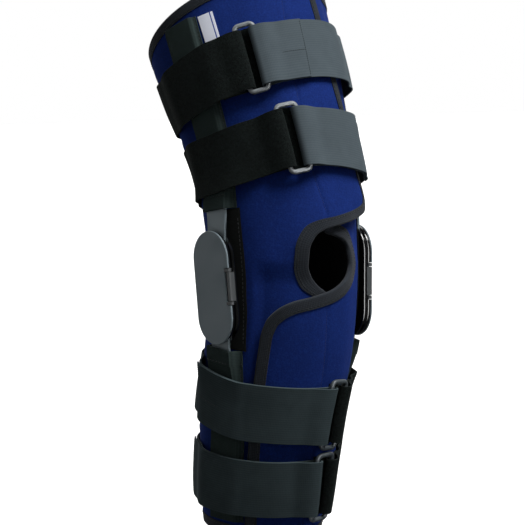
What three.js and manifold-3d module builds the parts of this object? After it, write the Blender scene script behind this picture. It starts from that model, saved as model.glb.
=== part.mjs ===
// Hinged wrap-around knee brace, in the form it has on a slightly bent leg.
// Millimetres, +Z up, the front of the knee towards -Y. The origin lies midway between the two knee hinges.
//
// Every soft piece is a flat cut that is bent onto the leg form. A place on that form is given by
//   place  distance along the leg's bent axis, 0 at the knee hinges, positive up the thigh
//   angle  degrees round the leg, 0 at the front, negative on the -X side, 180 at the back
//   lift   distance outwards from the sleeve's outer face
import * as THREE from "three";
import { mergeVertices } from "three/addons/utils/BufferGeometryUtils.js";
import Module from "manifold-3d";

const wasm = await Module();
wasm.setup();

const DEG = Math.PI / 180;

// Leg form

const LEG = { thighTilt: 27 * DEG, calfTilt: -7.5 * DEG, bendFrom: -35, bendTo: 160,
  calfSway: -2.6, swayFrom: -45, swayTo: -115 };
const LEG_SECTIONS = [
  { place: -235, halfWidth: 49, front: 48, back: 51 },
  { place: -170, halfWidth: 58, front: 55, back: 64 },
  { place: -110, halfWidth: 62, front: 59.5, back: 67 },
  { place: -50, halfWidth: 65.5, front: 63.5, back: 63.5 },
  { place: 0, halfWidth: 66, front: 64.5, back: 61.5 },
  { place: 60, halfWidth: 67.5, front: 66.2, back: 65 },
  { place: 105, halfWidth: 69.6, front: 67.8, back: 69.2 },
  { place: 145, halfWidth: 74.2, front: 72.4, back: 75 },
  { place: 185, halfWidth: 79, front: 77.8, back: 80 },
  { place: 250, halfWidth: 83.3, front: 82, back: 83.5 },
];

// Sleeve: one neoprene sheet wrapped round the leg, with its two shaped ends lapped at the front

const SLEEVE = { wall: 2.6, top: 238, topRise: 12, bottom: -218, riseFrom: 60, lapOver: 3.2, lapUnder: 3.4 };
const SLEEVE_ROWS = [
  { from: -218, to: -60, steps: 3 },
  { from: -60, to: -16, steps: 3 },
  { from: -16, to: -2, steps: 4 },
  { from: -2, to: 8, steps: 2 },
  { from: 8, to: 36, steps: 3 },
  { from: 36, to: 44, steps: 2 },
  { from: 44, to: 52, steps: 4 },
  { from: 52, to: 60, steps: 1 },
  { from: 60, to: 120, steps: 5 },
  { from: 120, to: 238, steps: 3 },
];
const SLEEVE_COLUMNS = { upperEnd: 9, body: 15, lowerEnd: 7, bodyFrom: 60, bodyTo: 300 };
const UPPER_FLAP_EDGE = [
  { place: -218, angle: -25 },
  { place: -60, angle: -25 },
  { place: -14, angle: 2 },
  { place: -4, angle: 2 },
  { place: 2, angle: -6 },
  { place: 9, angle: -12.5 },
  { place: 18, angle: -16 },
  { place: 30, angle: -15.5 },
  { place: 39, angle: -11 },
  { place: 44, angle: -3 },
  { place: 47, angle: 12 },
  { place: 52, angle: 36 },
  { place: 58, angle: 49 },
  { place: 68, angle: 53 },
  { place: 82, angle: 50 },
  { place: 115, angle: 36 },
  { place: 150, angle: 26 },
  { place: 238, angle: 19 },
];
const LOWER_FLAP_EDGE = [
  { place: -218, angle: -50.5 },
  { place: -80, angle: -50.5 },
  { place: -38, angle: -49 },
  { place: -24, angle: -45.5 },
  { place: -15, angle: -38 },
  { place: -9, angle: -27 },
  { place: -5, angle: -10 },
  { place: -1, angle: 5 },
  { place: 4, angle: 15.5 },
  { place: 10, angle: 24.5 },
  { place: 18, angle: 30 },
  { place: 28, angle: 30.5 },
  { place: 35, angle: 25.5 },
  { place: 39, angle: 15 },
  { place: 42, angle: 4 },
  { place: 47, angle: -2 },
  { place: 60, angle: -2 },
  { place: 238, angle: 2 },
];
// Where each flap rises to lap over the other, and where the end below it sinks to make room
const UPPER_LAP = { placeFrom: 16, placeTo: 37, angleFrom: -42, angleTo: -15, sinkFrom: 64, sinkTo: 48 };
const LOWER_LAP = { placeFrom: 24, placeTo: 4, angleFrom: 40, angleTo: 14, sinkFrom: -60, sinkTo: -48 };
// The upper flap's lower corner stands off the leg below the strap that holds the flap
const FLAP_CORNER = { lift: 4.2, angleFrom: 28, angleTo: 52, lowFrom: 44, lowTo: 56,
  highFrom: 92, highTo: 62 };

// Binding: a tape folded over every raw edge of the sleeve

const BINDING = { tape: 0.7, gap: 0.9, flatness: 0.55, upperReach: 7.5, lowerReach: 9.5, hemReach: 8.5,
  hiddenEnd: 6, lowerFlapTop: 48, cornerGap: 1.8 };

// Hinges, their pads, arms and pockets. Each row gives the angles of the two side lines, without their signs.

const SIDE_LINE = [
  { place: -218, left: 74, right: 92 },
  { place: -140, left: 74, right: 91 },
  { place: -60, left: 79.5, right: 88 },
  { place: 0, left: 87.5, right: 85 },
  { place: 70, left: 83, right: 84 },
  { place: 150, left: 76.5, right: 86 },
  { place: 238, left: 73, right: 87 },
];
const PAD = { thickness: 1.1, seat: 0.55, halfWidth: 24, towardFront: 3, topTaper: 6, from: -51.2, to: 65.2,
  rows: 6, columns: 5 };
const HINGE = { lean: 5 * DEG, length: 99, width: 49, sideSpan: 45, arcSteps: 6 };
const HOUSING = { floor: 2.5, top: 6.4, clearance: 0.35, channel: 20.5 };
const COVER = { from: 6.75, top: 11.6, edge: 1.2 };
const KNUCKLE = { forward: 23, lift: 9.15, radius: 2.4, halfLength: 12.5, ear: 3, gap: 0.4, pin: 1,
  fingerGap: 1.2, sides: 8 };
const ARM = { halfWidth: 12, thickness: 2, lift: 5.4, pivot: 14, pivotHole: 3.4, pivotPost: 3,
  pocketLift: 1.5, flatEnd: 51, bendEnd: 62, pocketedFrom: 100, upperEnd: 205, lowerEnd: -185,
  roundSteps: 3, steps: 8 };
const POCKET = { cloth: 1, seat: 0.4, armGap: 0.7, gape: 1.4, gapeFrom: 52, gapeTo: 82, shoulder: 13.8,
  halfWidth: 18.5, crown: 2, hemGap: 12.5, upperMouth: 65.5, lowerMouth: -51.5, upperRows: 6,
  lowerRows: 10 };

// Straps: a pull strap folded back through a ring, and a loop strap that carries the ring

const STRAP = { pull: 1.6, loop: 1.9, seat: 1.2, barGap: 1.05, layerGap: 0.4, settle: 16, tail: 24,
  backJoin: 0.6, pitch: 12, hairpinSteps: 4, slack: 0.6, flare: 2.5, pullColumns: 2, loopColumns: 1 };
const RING = { rod: 2.2, halfWidth: 7.6, endGap: 2.3, edge: 1, corner: 3.4, arcSteps: 1 };
// pullSide is +1 where the pull strap comes from the +X side, and -1 where it comes from the -X side.
// skew is how many degrees the ring's upper end lies further round the leg than its lower end.
const STRAPS = [
  { name: "upper_thigh", pullSide: 1, ringAngle: -34, foldEnd: 0, width: 51, skew: 0,
    atRing: 175, atPull: 178, atLoop: 171, atBack: 188 },
  { name: "lower_thigh", pullSide: 1, ringAngle: -20, foldEnd: 72, width: 50, skew: -3,
    atRing: 109.5, atPull: 107, atLoop: 103, atBack: 105 },
  { name: "upper_calf", pullSide: -1, ringAngle: 12.5, foldEnd: -100, width: 51, skew: 2,
    atRing: -103.8, atPull: -103, atLoop: -104, atBack: -92 },
  { name: "lower_calf", pullSide: -1, ringAngle: 11, foldEnd: -128, width: 51, skew: -2.5,
    atRing: -169.6, atPull: -171.5, atLoop: -168, atBack: -170 },
];

const LABEL = { place: 215, angle: -54.2, height: 25, width: 14, cloth: 0.6, seat: 0.3 };

const FINISHES = {
  neoprene: { color: 0x1c3574, roughness: 0.9 },
  binding: { color: 0x232628, roughness: 0.85 },
  pocket: { color: 0x1b1f1e, roughness: 0.9 },
  pullThigh: { color: 0x565f66, roughness: 0.8 },
  pullCalf: { color: 0x2c3436, roughness: 0.8 },
  loop: { color: 0x101414, roughness: 0.95 },
  ring: { color: 0x8b8f92, roughness: 0.4 },
  housing: { color: 0x0d0e10, roughness: 0.25 },
  cover: { color: 0x414a4f, roughness: 0.55 },
  arm: { color: 0x454b4f, roughness: 0.5, metalness: 0.6 },
  label: { color: 0xd8dbe6, roughness: 0.8 },
};

// Numbers

/** Cubic step from 0 at one end to 1 at the other, level at both. */
function ramp(value, from, to) {
  const t = THREE.MathUtils.clamp((value - from) / (to - from), 0, 1);
  return t * t * (3 - 2 * t);
}

/** Value of a table's column at a place, on a smooth curve through the rows that doesn't overshoot. */
function smoothAt(rows, column, place) {
  const last = rows.length - 1;
  if (place <= rows[0].place) return rows[0][column];
  if (place >= rows[last].place) return rows[last][column];
  const i = rows.findIndex((row) => row.place > place) - 1;
  const secant = (k) => (rows[k + 1][column] - rows[k][column]) / (rows[k + 1].place - rows[k].place);
  const slope = (k) => {
    if (k === 0 || k === last) return k === 0 ? secant(0) : secant(last - 1);
    const before = secant(k - 1);
    const after = secant(k);
    return before * after <= 0 ? 0 : (2 * before * after) / (before + after);
  };
  const span = rows[i + 1].place - rows[i].place;
  const t = (place - rows[i].place) / span;
  const a = rows[i][column];
  const b = rows[i + 1][column];
  const rise = (1 - t) * slope(i) * span - t * slope(i + 1) * span;
  return a + (b - a) * t * t * (3 - 2 * t) + t * (1 - t) * rise;
}

/** Places listed by bands of even steps. */
function spread(bands) {
  const places = [bands[0].from];
  for (const { from, to, steps } of bands)
    for (let k = 1; k <= steps; k++) places.push(from + ((to - from) * k) / steps);
  return places;
}

// Points on the leg form

function tiltAt(place) {
  const share = THREE.MathUtils.clamp((place - LEG.bendFrom) / (LEG.bendTo - LEG.bendFrom), 0, 1);
  return THREE.MathUtils.lerp(LEG.calfTilt, LEG.thighTilt, share);
}

/** Point of the bent axis: an arc through the knee with a straight run above and below it. */
function axisPoint(place) {
  const curvature = (LEG.thighTilt - LEG.calfTilt) / (LEG.bendTo - LEG.bendFrom);
  const onArc = THREE.MathUtils.clamp(place, LEG.bendFrom, LEG.bendTo);
  const knee = tiltAt(0);
  const tilt = tiltAt(onArc);
  const straight = place - onArc;
  return new THREE.Vector3(
    LEG.calfSway * ramp(place, LEG.swayFrom, LEG.swayTo),
    (Math.cos(knee) - Math.cos(tilt)) / curvature + straight * Math.sin(tilt),
    (Math.sin(tilt) - Math.sin(knee)) / curvature + straight * Math.cos(tilt),
  );
}

function formPoint(place, angle, lift) {
  const tilt = tiltAt(place);
  const depth = smoothAt(LEG_SECTIONS, Math.cos(angle * DEG) > 0 ? "front" : "back", place) + lift;
  const forward = depth * Math.cos(angle * DEG);
  const across = (smoothAt(LEG_SECTIONS, "halfWidth", place) + lift) * Math.sin(angle * DEG);
  return axisPoint(place).add(new THREE.Vector3(across, -forward * Math.cos(tilt), forward * Math.sin(tilt)));
}

/** Outward normal and the two surface directions at a place on the form. */
function formFrame(place, angle, lift) {
  const point = formPoint(place, angle, lift);
  const normal = formPoint(place, angle, lift + 1).sub(point).normalize();
  const along = formPoint(place + 1, angle, lift).sub(point).normalize();
  const around = new THREE.Vector3().crossVectors(normal, along).normalize();
  return { point, normal, along, around: around.negate() };
}

/** Degrees round the leg that a distance takes up. */
function turn(distance, place, angle) {
  const perDegree = formPoint(place, angle + 0.5, 0).distanceTo(formPoint(place, angle - 0.5, 0));
  return distance / perDegree;
}

// Solids

function withoutAttributes(geometry) {
  geometry.deleteAttribute("normal");
  geometry.deleteAttribute("uv");
  return mergeVertices(geometry, 1e-4);
}

function signedVolume(geometry) {
  const at = geometry.attributes.position;
  const index = geometry.index.array;
  const [a, b, c] = [new THREE.Vector3(), new THREE.Vector3(), new THREE.Vector3()];
  let volume = 0;
  for (let i = 0; i < index.length; i += 3) {
    a.fromBufferAttribute(at, index[i]);
    b.fromBufferAttribute(at, index[i + 1]);
    c.fromBufferAttribute(at, index[i + 2]);
    volume += a.dot(b.cross(c)) / 6;
  }
  return volume;
}

/** Bends a flat cut of even cells: map(u, v, w) gives the point for shares along, across and through it. */
function bentCut(alongCount, acrossCount, map) {
  const geometry = withoutAttributes(new THREE.BoxGeometry(1, 1, 1, alongCount, acrossCount, 1));
  const at = geometry.attributes.position;
  for (let i = 0; i < at.count; i++) {
    const point = map(at.getX(i) + 0.5, at.getY(i) + 0.5, at.getZ(i) + 0.5);
    at.setXYZ(i, point.x, point.y, point.z);
  }
  if (signedVolume(geometry) < 0) {
    const index = geometry.index.array;
    for (let i = 0; i < index.length; i += 3) [index[i], index[i + 1]] = [index[i + 1], index[i]];
  }
  return geometry;
}

function toManifold(geometry) {
  const merged = withoutAttributes(geometry.clone());
  return new wasm.Manifold(new wasm.Mesh({
    numProp: 3,
    vertProperties: merged.attributes.position.array,
    triVerts: new Uint32Array(merged.index.array),
  }));
}

function toGeometry(manifold) {
  const mesh = manifold.getMesh();
  return new THREE.BufferGeometry()
    .setAttribute("position", new THREE.BufferAttribute(new Float32Array(mesh.vertProperties), 3))
    .setIndex(new THREE.BufferAttribute(new Uint32Array(mesh.triVerts), 1));
}

function part(name, geometry, finish) {
  const mesh = new THREE.Mesh(geometry, new THREE.MeshStandardMaterial(FINISHES[finish]));
  mesh.name = name;
  return mesh;
}

// Sleeve

const sleeveRows = spread(SLEEVE_ROWS);
const columnCount = SLEEVE_COLUMNS.upperEnd + SLEEVE_COLUMNS.body + SLEEVE_COLUMNS.lowerEnd;

/** The hem rises towards the front, so rows near the top bend with it. */
function risenPlace(row, angle) {
  return row + SLEEVE.topRise * Math.cos(angle * DEG) * ramp(row, SLEEVE.riseFrom, SLEEVE.top);
}

/** Wrap angle of a column. It grows from the upper flap's edge, by the -X side and back, to the lower's. */
function wrapAngle(row, column) {
  const { upperEnd, body, lowerEnd, bodyFrom, bodyTo } = SLEEVE_COLUMNS;
  const start = -smoothAt(UPPER_FLAP_EDGE, "angle", row);
  const end = 360 - smoothAt(LOWER_FLAP_EDGE, "angle", row);
  if (column <= upperEnd) return THREE.MathUtils.lerp(start, bodyFrom, column / upperEnd);
  if (column <= upperEnd + body) return THREE.MathUtils.lerp(bodyFrom, bodyTo, (column - upperEnd) / body);
  return THREE.MathUtils.lerp(bodyTo, end, (column - upperEnd - body) / lowerEnd);
}

/** How far the upper flap's lower corner stands off the leg. */
function cornerLift(row, angle) {
  const { lift, angleFrom, angleTo, lowFrom, lowTo, highFrom, highTo } = FLAP_CORNER;
  return lift * ramp(angle, angleFrom, angleTo) * ramp(row, lowFrom, lowTo) * ramp(row, highFrom, highTo);
}

/** How far an end of the sheet rises where it laps over the other end, or sinks where it is lapped over. */
function lapLift(row, wrap) {
  const onUpperEnd = wrap < 180;
  const angle = onUpperEnd ? -wrap : 360 - wrap;
  const [over, under] = onUpperEnd ? [UPPER_LAP, LOWER_LAP] : [LOWER_LAP, UPPER_LAP];
  const rise = ramp(row, over.placeFrom, over.placeTo) * ramp(angle, over.angleFrom, over.angleTo);
  const sink = ramp(row, under.placeFrom, under.placeTo) * ramp(angle, under.sinkFrom, under.sinkTo);
  const corner = onUpperEnd ? cornerLift(row, angle) : 0;
  return SLEEVE.lapOver * rise - SLEEVE.lapUnder * sink + corner;
}

function sheetPoint(row, wrap, depth) {
  return formPoint(risenPlace(row, -wrap), -wrap, lapLift(row, wrap) - depth);
}

function makeSleeve() {
  const rowSteps = sleeveRows.length - 1;
  const sheet = bentCut(rowSteps, columnCount, (u, v, w) => {
    const row = sleeveRows[Math.round(u * rowSteps)];
    return sheetPoint(row, wrapAngle(row, Math.round(v * columnCount)), w * SLEEVE.wall);
  });
  return part("wrap_sleeve", sheet, "neoprene");
}

// Binding

/** Folded tape section, from the outer face round the raw edge to the inner face. */
function foldedTape(v, w, reach) {
  const centre = { out: 0, lift: -SLEEVE.wall / 2 };
  const radius = SLEEVE.wall / 2 + BINDING.gap + w * BINDING.tape;
  const step = Math.round(v * 4);
  const fold = [Math.PI / 2, Math.PI / 2, 0, -Math.PI / 2, -Math.PI / 2][step];
  const leg = step === 0 || step === 4 ? reach : 0;
  return {
    out: centre.out + BINDING.flatness * radius * Math.cos(fold) - leg,
    lift: centre.lift + radius * Math.sin(fold),
  };
}

/** Lengths on the sheet of one unit of row and of one degree of wrap. */
function sheetScale({ row, wrap }) {
  const here = sheetPoint(row, wrap, 0);
  return {
    perRow: sheetPoint(row + 1, wrap, 0).distanceTo(here),
    perDegree: sheetPoint(row, wrap + 1, 0).distanceTo(here),
  };
}

/** Tape along an edge through {row, wrap} stations; side is the sign that turns outwards off the sheet. */
function tapeAlong(stations, side, reach) {
  const last = stations.length - 1;
  const edge = stations.map((station, i) => {
    const { perRow, perDegree } = sheetScale(station);
    const ahead = stations[Math.min(i + 1, last)];
    const behind = stations[Math.max(i - 1, 0)];
    const rise = (ahead.row - behind.row) * perRow;
    const round = (ahead.wrap - behind.wrap) * perDegree;
    const run = new THREE.Vector2(rise, round).normalize();
    return { ...station, rowOut: (-side * run.y) / perRow, wrapOut: (side * run.x) / perDegree };
  });
  return bentCut(last, 4, (u, v, w) => {
    const { row, wrap, rowOut, wrapOut } = edge[Math.round(u * last)];
    const tape = foldedTape(v, w, reach);
    return sheetPoint(row + rowOut * tape.out, wrap + wrapOut * tape.out, -tape.lift);
  });
}

function flapStations(column, isBound) {
  return sleeveRows.filter(isBound).map((row) => ({ row, wrap: wrapAngle(row, column) }));
}

/** Stations along a hem, stopped short of a flap's binding at the end that carries one there. */
function hemStations(row, boundColumn, flapReach) {
  const corner = turn(flapReach + BINDING.cornerGap, row, 0);
  return Array.from({ length: columnCount + 1 }, (_, column) => {
    const short = column === boundColumn ? corner * (column === 0 ? 1 : -1) : 0;
    return { row, wrap: wrapAngle(row, column) + short };
  });
}

function makeBindings() {
  const { upperReach, lowerReach, hemReach } = BINDING;
  const upperEdge = flapStations(0, (row) => row >= -BINDING.hiddenEnd);
  const lowerEdge = flapStations(columnCount, (row) => row <= BINDING.lowerFlapTop);
  const topEdge = hemStations(SLEEVE.top, 0, upperReach);
  const bottomEdge = hemStations(SLEEVE.bottom, columnCount, lowerReach);
  return [
    part("upper_flap_binding", tapeAlong(upperEdge, -1, upperReach), "binding"),
    part("lower_flap_binding", tapeAlong(lowerEdge, 1, lowerReach), "binding"),
    part("top_hem_binding", tapeAlong(topEdge, -1, hemReach), "binding"),
    part("bottom_hem_binding", tapeAlong(bottomEdge, 1, hemReach), "binding"),
  ];
}

// Hinges. Each side's pieces are made in place; sign is -1 on the -X side and +1 on the +X side.

function sideAngle(place, sign) {
  return sign * smoothAt(SIDE_LINE, sign < 0 ? "left" : "right", place);
}

/** Flat frame of a hinge: outward, forward and up directions, leaned back with the thigh. */
function hingeFrame(sign) {
  const low = formPoint(-HINGE.sideSpan, sideAngle(-HINGE.sideSpan, sign), 0);
  const high = formPoint(HINGE.sideSpan, sideAngle(HINGE.sideSpan, sign), 0);
  const { point, normal } = formFrame(0, sideAngle(0, sign), 0);
  const rise = high.sub(low).normalize();
  const outward = normal.addScaledVector(rise, -normal.dot(rise)).normalize();
  const ahead = new THREE.Vector3().crossVectors(rise, outward).multiplyScalar(-sign).normalize();
  const up = rise.clone().multiplyScalar(Math.cos(HINGE.lean)).addScaledVector(ahead, -Math.sin(HINGE.lean));
  const forward = ahead.multiplyScalar(Math.cos(HINGE.lean)).addScaledVector(rise, Math.sin(HINGE.lean));
  return { origin: point, outward, forward, up };
}

function inHinge(frame, forward, up, lift) {
  return frame.origin.clone()
    .addScaledVector(frame.forward, forward)
    .addScaledVector(frame.up, up)
    .addScaledVector(frame.outward, lift);
}

/** Places a geometry drawn with x forward, y up and z outward into a hinge's frame, faces kept outwards. */
function intoHinge(geometry, frame) {
  const flat = withoutAttributes(geometry);
  const at = flat.attributes.position;
  for (let i = 0; i < at.count; i++) {
    const point = inHinge(frame, at.getX(i), at.getY(i), at.getZ(i));
    at.setXYZ(i, point.x, point.y, point.z);
  }
  if (signedVolume(flat) < 0) {
    const index = flat.index.array;
    for (let i = 0; i < index.length; i += 3) [index[i], index[i + 1]] = [index[i + 1], index[i]];
  }
  return toManifold(flat);
}

/** Flat plate with round ends and softened rims, from one lift to another. */
function roundEndedPlate(length, width, from, to, edge) {
  const radius = width / 2 - edge;
  const half = length / 2 - edge - radius;
  const outline = new THREE.Shape();
  outline.absarc(0, half, radius, 0, Math.PI, false);
  outline.absarc(0, -half, radius, Math.PI, 2 * Math.PI, false);
  outline.closePath();
  const plate = new THREE.ExtrudeGeometry(outline, {
    depth: to - from - 2 * edge, bevelEnabled: edge > 0, bevelThickness: edge, bevelSize: edge,
    bevelSegments: 1, curveSegments: HINGE.arcSteps,
  });
  return plate.translate(0, 0, from + edge);
}

/** Upright cylinder along a hinge frame's up direction. */
function uprightCylinder(radius, from, to) {
  const bar = new THREE.CylinderGeometry(radius, radius, to - from, KNUCKLE.sides);
  return bar.translate(KNUCKLE.forward, (from + to) / 2, KNUCKLE.lift);
}

function box(forwardFrom, forwardTo, upFrom, upTo, liftFrom, liftTo) {
  const block = new THREE.BoxGeometry(forwardTo - forwardFrom, upTo - upFrom, liftTo - liftFrom);
  return block.translate((forwardFrom + forwardTo) / 2, (upFrom + upTo) / 2, (liftFrom + liftTo) / 2);
}

function post(radius, up, from, to) {
  const pin = new THREE.CylinderGeometry(radius, radius, to - from, KNUCKLE.sides).rotateX(Math.PI / 2);
  return pin.translate(0, up, (from + to) / 2);
}

/** Lift of an arm's middle: flat in the hinge, then down into its pocket. */
function armLift(place, sign, frame) {
  const bend = Math.sign(place) * ARM.bendEnd;
  const surface = formPoint(bend, sideAngle(bend, sign), 0).sub(frame.origin).dot(frame.outward);
  const settled = ramp(Math.abs(place), ARM.bendEnd, ARM.pocketedFrom);
  return THREE.MathUtils.lerp(ARM.lift - surface, ARM.pocketLift, settled);
}

/** Middle line of an arm from its pivot to the far end, as frames of {point, across, normal, halfWidth}. */
function armLine(sign, frame, end) {
  const way = Math.sign(end);
  const pivot = inHinge(frame, 0, way * ARM.pivot, ARM.lift);
  const bendPlace = way * ARM.bendEnd;
  const bend = formPoint(bendPlace, sideAngle(bendPlace, sign), armLift(bendPlace, sign, frame));
  const run = bend.clone().sub(pivot).normalize();
  const flatAcross = new THREE.Vector3().crossVectors(run, frame.outward).normalize();
  const line = [];
  for (let k = 0; k <= ARM.roundSteps; k++) {
    const share = (Math.PI / 2) * (k / ARM.roundSteps);
    const back = ARM.halfWidth * Math.cos(share);
    const halfWidth = ARM.halfWidth * Math.max(Math.sin(share), Math.sin(Math.PI / (4 * ARM.roundSteps)));
    const point = pivot.clone().addScaledVector(run, -back);
    line.push({ point, across: flatAcross, normal: frame.outward, halfWidth });
  }
  const flatRun = ARM.flatEnd - ARM.pivot;
  line.push({ point: pivot.clone().addScaledVector(run, flatRun), across: flatAcross, normal: frame.outward,
    halfWidth: ARM.halfWidth });
  for (let k = 1; k <= ARM.steps; k++) {
    const place = THREE.MathUtils.lerp(way * ARM.bendEnd, end, (k - 1) / (ARM.steps - 1));
    const { point, normal } = formFrame(place, sideAngle(place, sign), armLift(place, sign, frame));
    const next = place + way;
    const ahead = formPoint(next, sideAngle(next, sign), armLift(next, sign, frame)).sub(point);
    const across = new THREE.Vector3().crossVectors(ahead.normalize(), normal).normalize();
    const upright = new THREE.Vector3().crossVectors(across, ahead).normalize();
    line.push({ point, across, normal: upright, halfWidth: ARM.halfWidth });
  }
  return line;
}

function armBar(line) {
  return bentCut(line.length - 1, 1, (u, v, w) => {
    const { point, across, normal, halfWidth } = line[Math.round(u * (line.length - 1))];
    return point.clone()
      .addScaledVector(across, (v * 2 - 1) * halfWidth)
      .addScaledVector(normal, (w - 0.5) * ARM.thickness);
  });
}

/** Height of the cloth tunnel over an arm, measured from the sleeve. It gapes at its mouth. */
function tunnelTop(place, sign, frame) {
  const gape = POCKET.gape * (1 - ramp(Math.abs(place), POCKET.gapeFrom, POCKET.gapeTo));
  return armLift(place, sign, frame) + ARM.thickness / 2 + POCKET.armGap + gape;
}

/** Pocket section: a flange on each side and a tunnel between them. */
function makePocket(name, sign, frame, from, to, rows) {
  const section = [
    { out: -POCKET.halfWidth, raised: 0 },
    { out: -POCKET.shoulder - 1, raised: 0 },
    { out: -POCKET.shoulder, raised: 1 },
    { out: 0, raised: 1 },
    { out: POCKET.shoulder, raised: 1 },
    { out: POCKET.shoulder + 1, raised: 0 },
    { out: POCKET.halfWidth, raised: 0 },
  ];
  const last = section.length - 1;
  const strip = bentCut(rows, last, (u, v, w) => {
    const place = THREE.MathUtils.lerp(from, to, u);
    const { out, raised } = section[Math.round(v * last)];
    const middle = sideAngle(place, sign);
    if (!raised) return formPoint(place, middle + turn(out, place, middle), POCKET.seat + w * POCKET.cloth);
    const { point, around } = formFrame(place, middle, tunnelTop(place, sign, frame) + w * POCKET.cloth);
    return point.addScaledVector(around, out + Math.sign(out) * w * POCKET.cloth);
  });
  return part(name, strip, "pocket");
}

function makePad(name, sign) {
  const pad = bentCut(PAD.rows, PAD.columns, (u, v, w) => {
    const place = THREE.MathUtils.lerp(PAD.from, PAD.to, u);
    const middle = sideAngle(place, sign) - sign * PAD.towardFront;
    const out = (v * 2 - 1) * (PAD.halfWidth - PAD.topTaper * ramp(place, 0, PAD.to));
    return formPoint(place, middle + turn(out, place, middle), PAD.seat + w * PAD.thickness);
  });
  return part(name, pad, "pocket");
}

/** Tray with a channel for the arms, two pivot posts, and the knuckle that the cover swings on. */
function makeHousing(frame) {
  const tray = intoHinge(roundEndedPlate(HINGE.length, HINGE.width, HOUSING.floor, HOUSING.top, 0), frame);
  const { forward, lift, radius, halfLength, ear, gap, pin } = KNUCKLE;
  const posts = [-ARM.pivot, ARM.pivot].map((up) =>
    intoHinge(post(ARM.pivotPost, up, HOUSING.floor + 1, HOUSING.top), frame));
  const foot = box(forward - radius, forward + radius, -halfLength, halfLength, HOUSING.top - 2, lift);
  const riser = intoHinge(foot, frame);
  const barrel = intoHinge(uprightCylinder(radius, -halfLength, halfLength), frame);
  const pinBar = intoHinge(uprightCylinder(pin, -halfLength - gap - ear, halfLength + gap + ear), frame);
  const bed = ARM.lift - ARM.thickness / 2 - HOUSING.clearance;
  const channel = box(-HOUSING.channel, HOUSING.channel, -HINGE.length, HINGE.length, bed, 2 * COVER.top);
  const open = tray.subtract(intoHinge(channel, frame));
  return [...posts, riser, barrel, pinBar].reduce((body, piece) => body.add(piece), open);
}

/** Lid over the tray, notched for the knuckle, with an ear at each end of the notch. */
function makeCover(frame) {
  const { forward, lift, radius, halfLength, ear, gap, pin } = KNUCKLE;
  const lid = intoHinge(roundEndedPlate(HINGE.length, HINGE.width, COVER.from, COVER.top, COVER.edge), frame);
  const earFrom = halfLength + gap;
  const notchEnd = earFrom + ear + gap;
  const notchDepth = forward - radius - KNUCKLE.fingerGap;
  const notch = intoHinge(box(notchDepth, HINGE.width, -notchEnd, notchEnd, 0, 2 * COVER.top), frame);
  const ears = [earFrom, -earFrom - ear].map((from) => {
    const reach = notchDepth - KNUCKLE.fingerGap;
    const web = intoHinge(box(reach, forward, from, from + ear, lift - radius, lift + radius), frame);
    return intoHinge(uprightCylinder(radius, from, from + ear), frame).add(web);
  });
  const bore = intoHinge(uprightCylinder(pin + gap, -notchEnd, notchEnd), frame);
  return ears.reduce((body, piece) => body.add(piece.subtract(bore)), lid.subtract(notch));
}

function makeHinge(side, sign) {
  const frame = hingeFrame(sign);
  const lines = [armLine(sign, frame, ARM.upperEnd), armLine(sign, frame, ARM.lowerEnd)];
  const arms = lines.map((line, i) => {
    const hole = intoHinge(post(ARM.pivotHole, (i ? -1 : 1) * ARM.pivot, HOUSING.floor, COVER.top), frame);
    return toGeometry(toManifold(armBar(line)).subtract(hole));
  });
  const upperPocketEnd = risenPlace(SLEEVE.top, sideAngle(SLEEVE.top, sign)) - POCKET.hemGap;
  const lowerPocketEnd = SLEEVE.bottom + POCKET.hemGap;
  const hinge = new THREE.Group();
  hinge.add(
    makePad(`${side}_hinge_pad`, sign),
    part(`${side}_hinge_housing`, toGeometry(makeHousing(frame)), "housing"),
    part(`${side}_hinge_cover`, toGeometry(makeCover(frame)), "cover"),
    part(`${side}_upper_arm`, arms[0], "arm"),
    part(`${side}_lower_arm`, arms[1], "arm"),
    makePocket(`${side}_upper_pocket`, sign, frame, POCKET.upperMouth, upperPocketEnd, POCKET.upperRows),
    makePocket(`${side}_lower_pocket`, sign, frame, POCKET.lowerMouth, lowerPocketEnd, POCKET.lowerRows),
  );
  return hinge;
}

// Straps

const hingeFrames = { [-1]: hingeFrame(-1), [1]: hingeFrame(1) };

/** Height of the pockets and lapped flaps under a taut strap, which spans the hollows beside them. */
function pileUnder(place, angle) {
  const sign = Math.sign(angle) || 1;
  const offLine = Math.abs(angle - sideAngle(place, sign));
  const inPocket = place > POCKET.upperMouth || place < POCKET.lowerMouth;
  const tunnel = inPocket ? tunnelTop(place, sign, hingeFrames[sign]) + POCKET.cloth + POCKET.crown : 0;
  const overPocket = tunnel * (1 - ramp(offLine, 15, 36));
  const lapped = SLEEVE.lapOver + BINDING.gap + BINDING.tape + STRAP.slack;
  const onThigh = place > 0;
  const lap = onThigh ? UPPER_LAP : LOWER_LAP;
  const edge = smoothAt(onThigh ? UPPER_FLAP_EDGE : LOWER_FLAP_EDGE, "angle", place);
  const past = onThigh ? angle - edge : edge - angle;
  const overLap = lapped * ramp(angle, lap.angleFrom, lap.angleTo) * (1 - ramp(past, 2, 34));
  return Math.max(overPocket, overLap);
}

/** Place of a strap's middle at an angle, measured from its ring towards the pull or the loop side. */
function strapPlace(strap, angle) {
  const away = (angle - strap.ringAngle) * strap.pullSide;
  const quarter = away > 0 ? strap.atPull : strap.atLoop;
  const nearRing = THREE.MathUtils.lerp(strap.atRing, quarter, ramp(Math.abs(away), 0, 60));
  return THREE.MathUtils.lerp(nearRing, strap.atBack, ramp(Math.abs(away), 60, 130));
}

/** Place at a share of a strap's width from its middle; the bent leg's front stretches places apart. */
function acrossStrap(strap, angle, share) {
  const middle = strapPlace(strap, angle);
  const perPlace = formPoint(middle + 0.5, angle, 0).distanceTo(formPoint(middle - 0.5, angle, 0));
  return middle + (share * strap.width) / perPlace;
}

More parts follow.
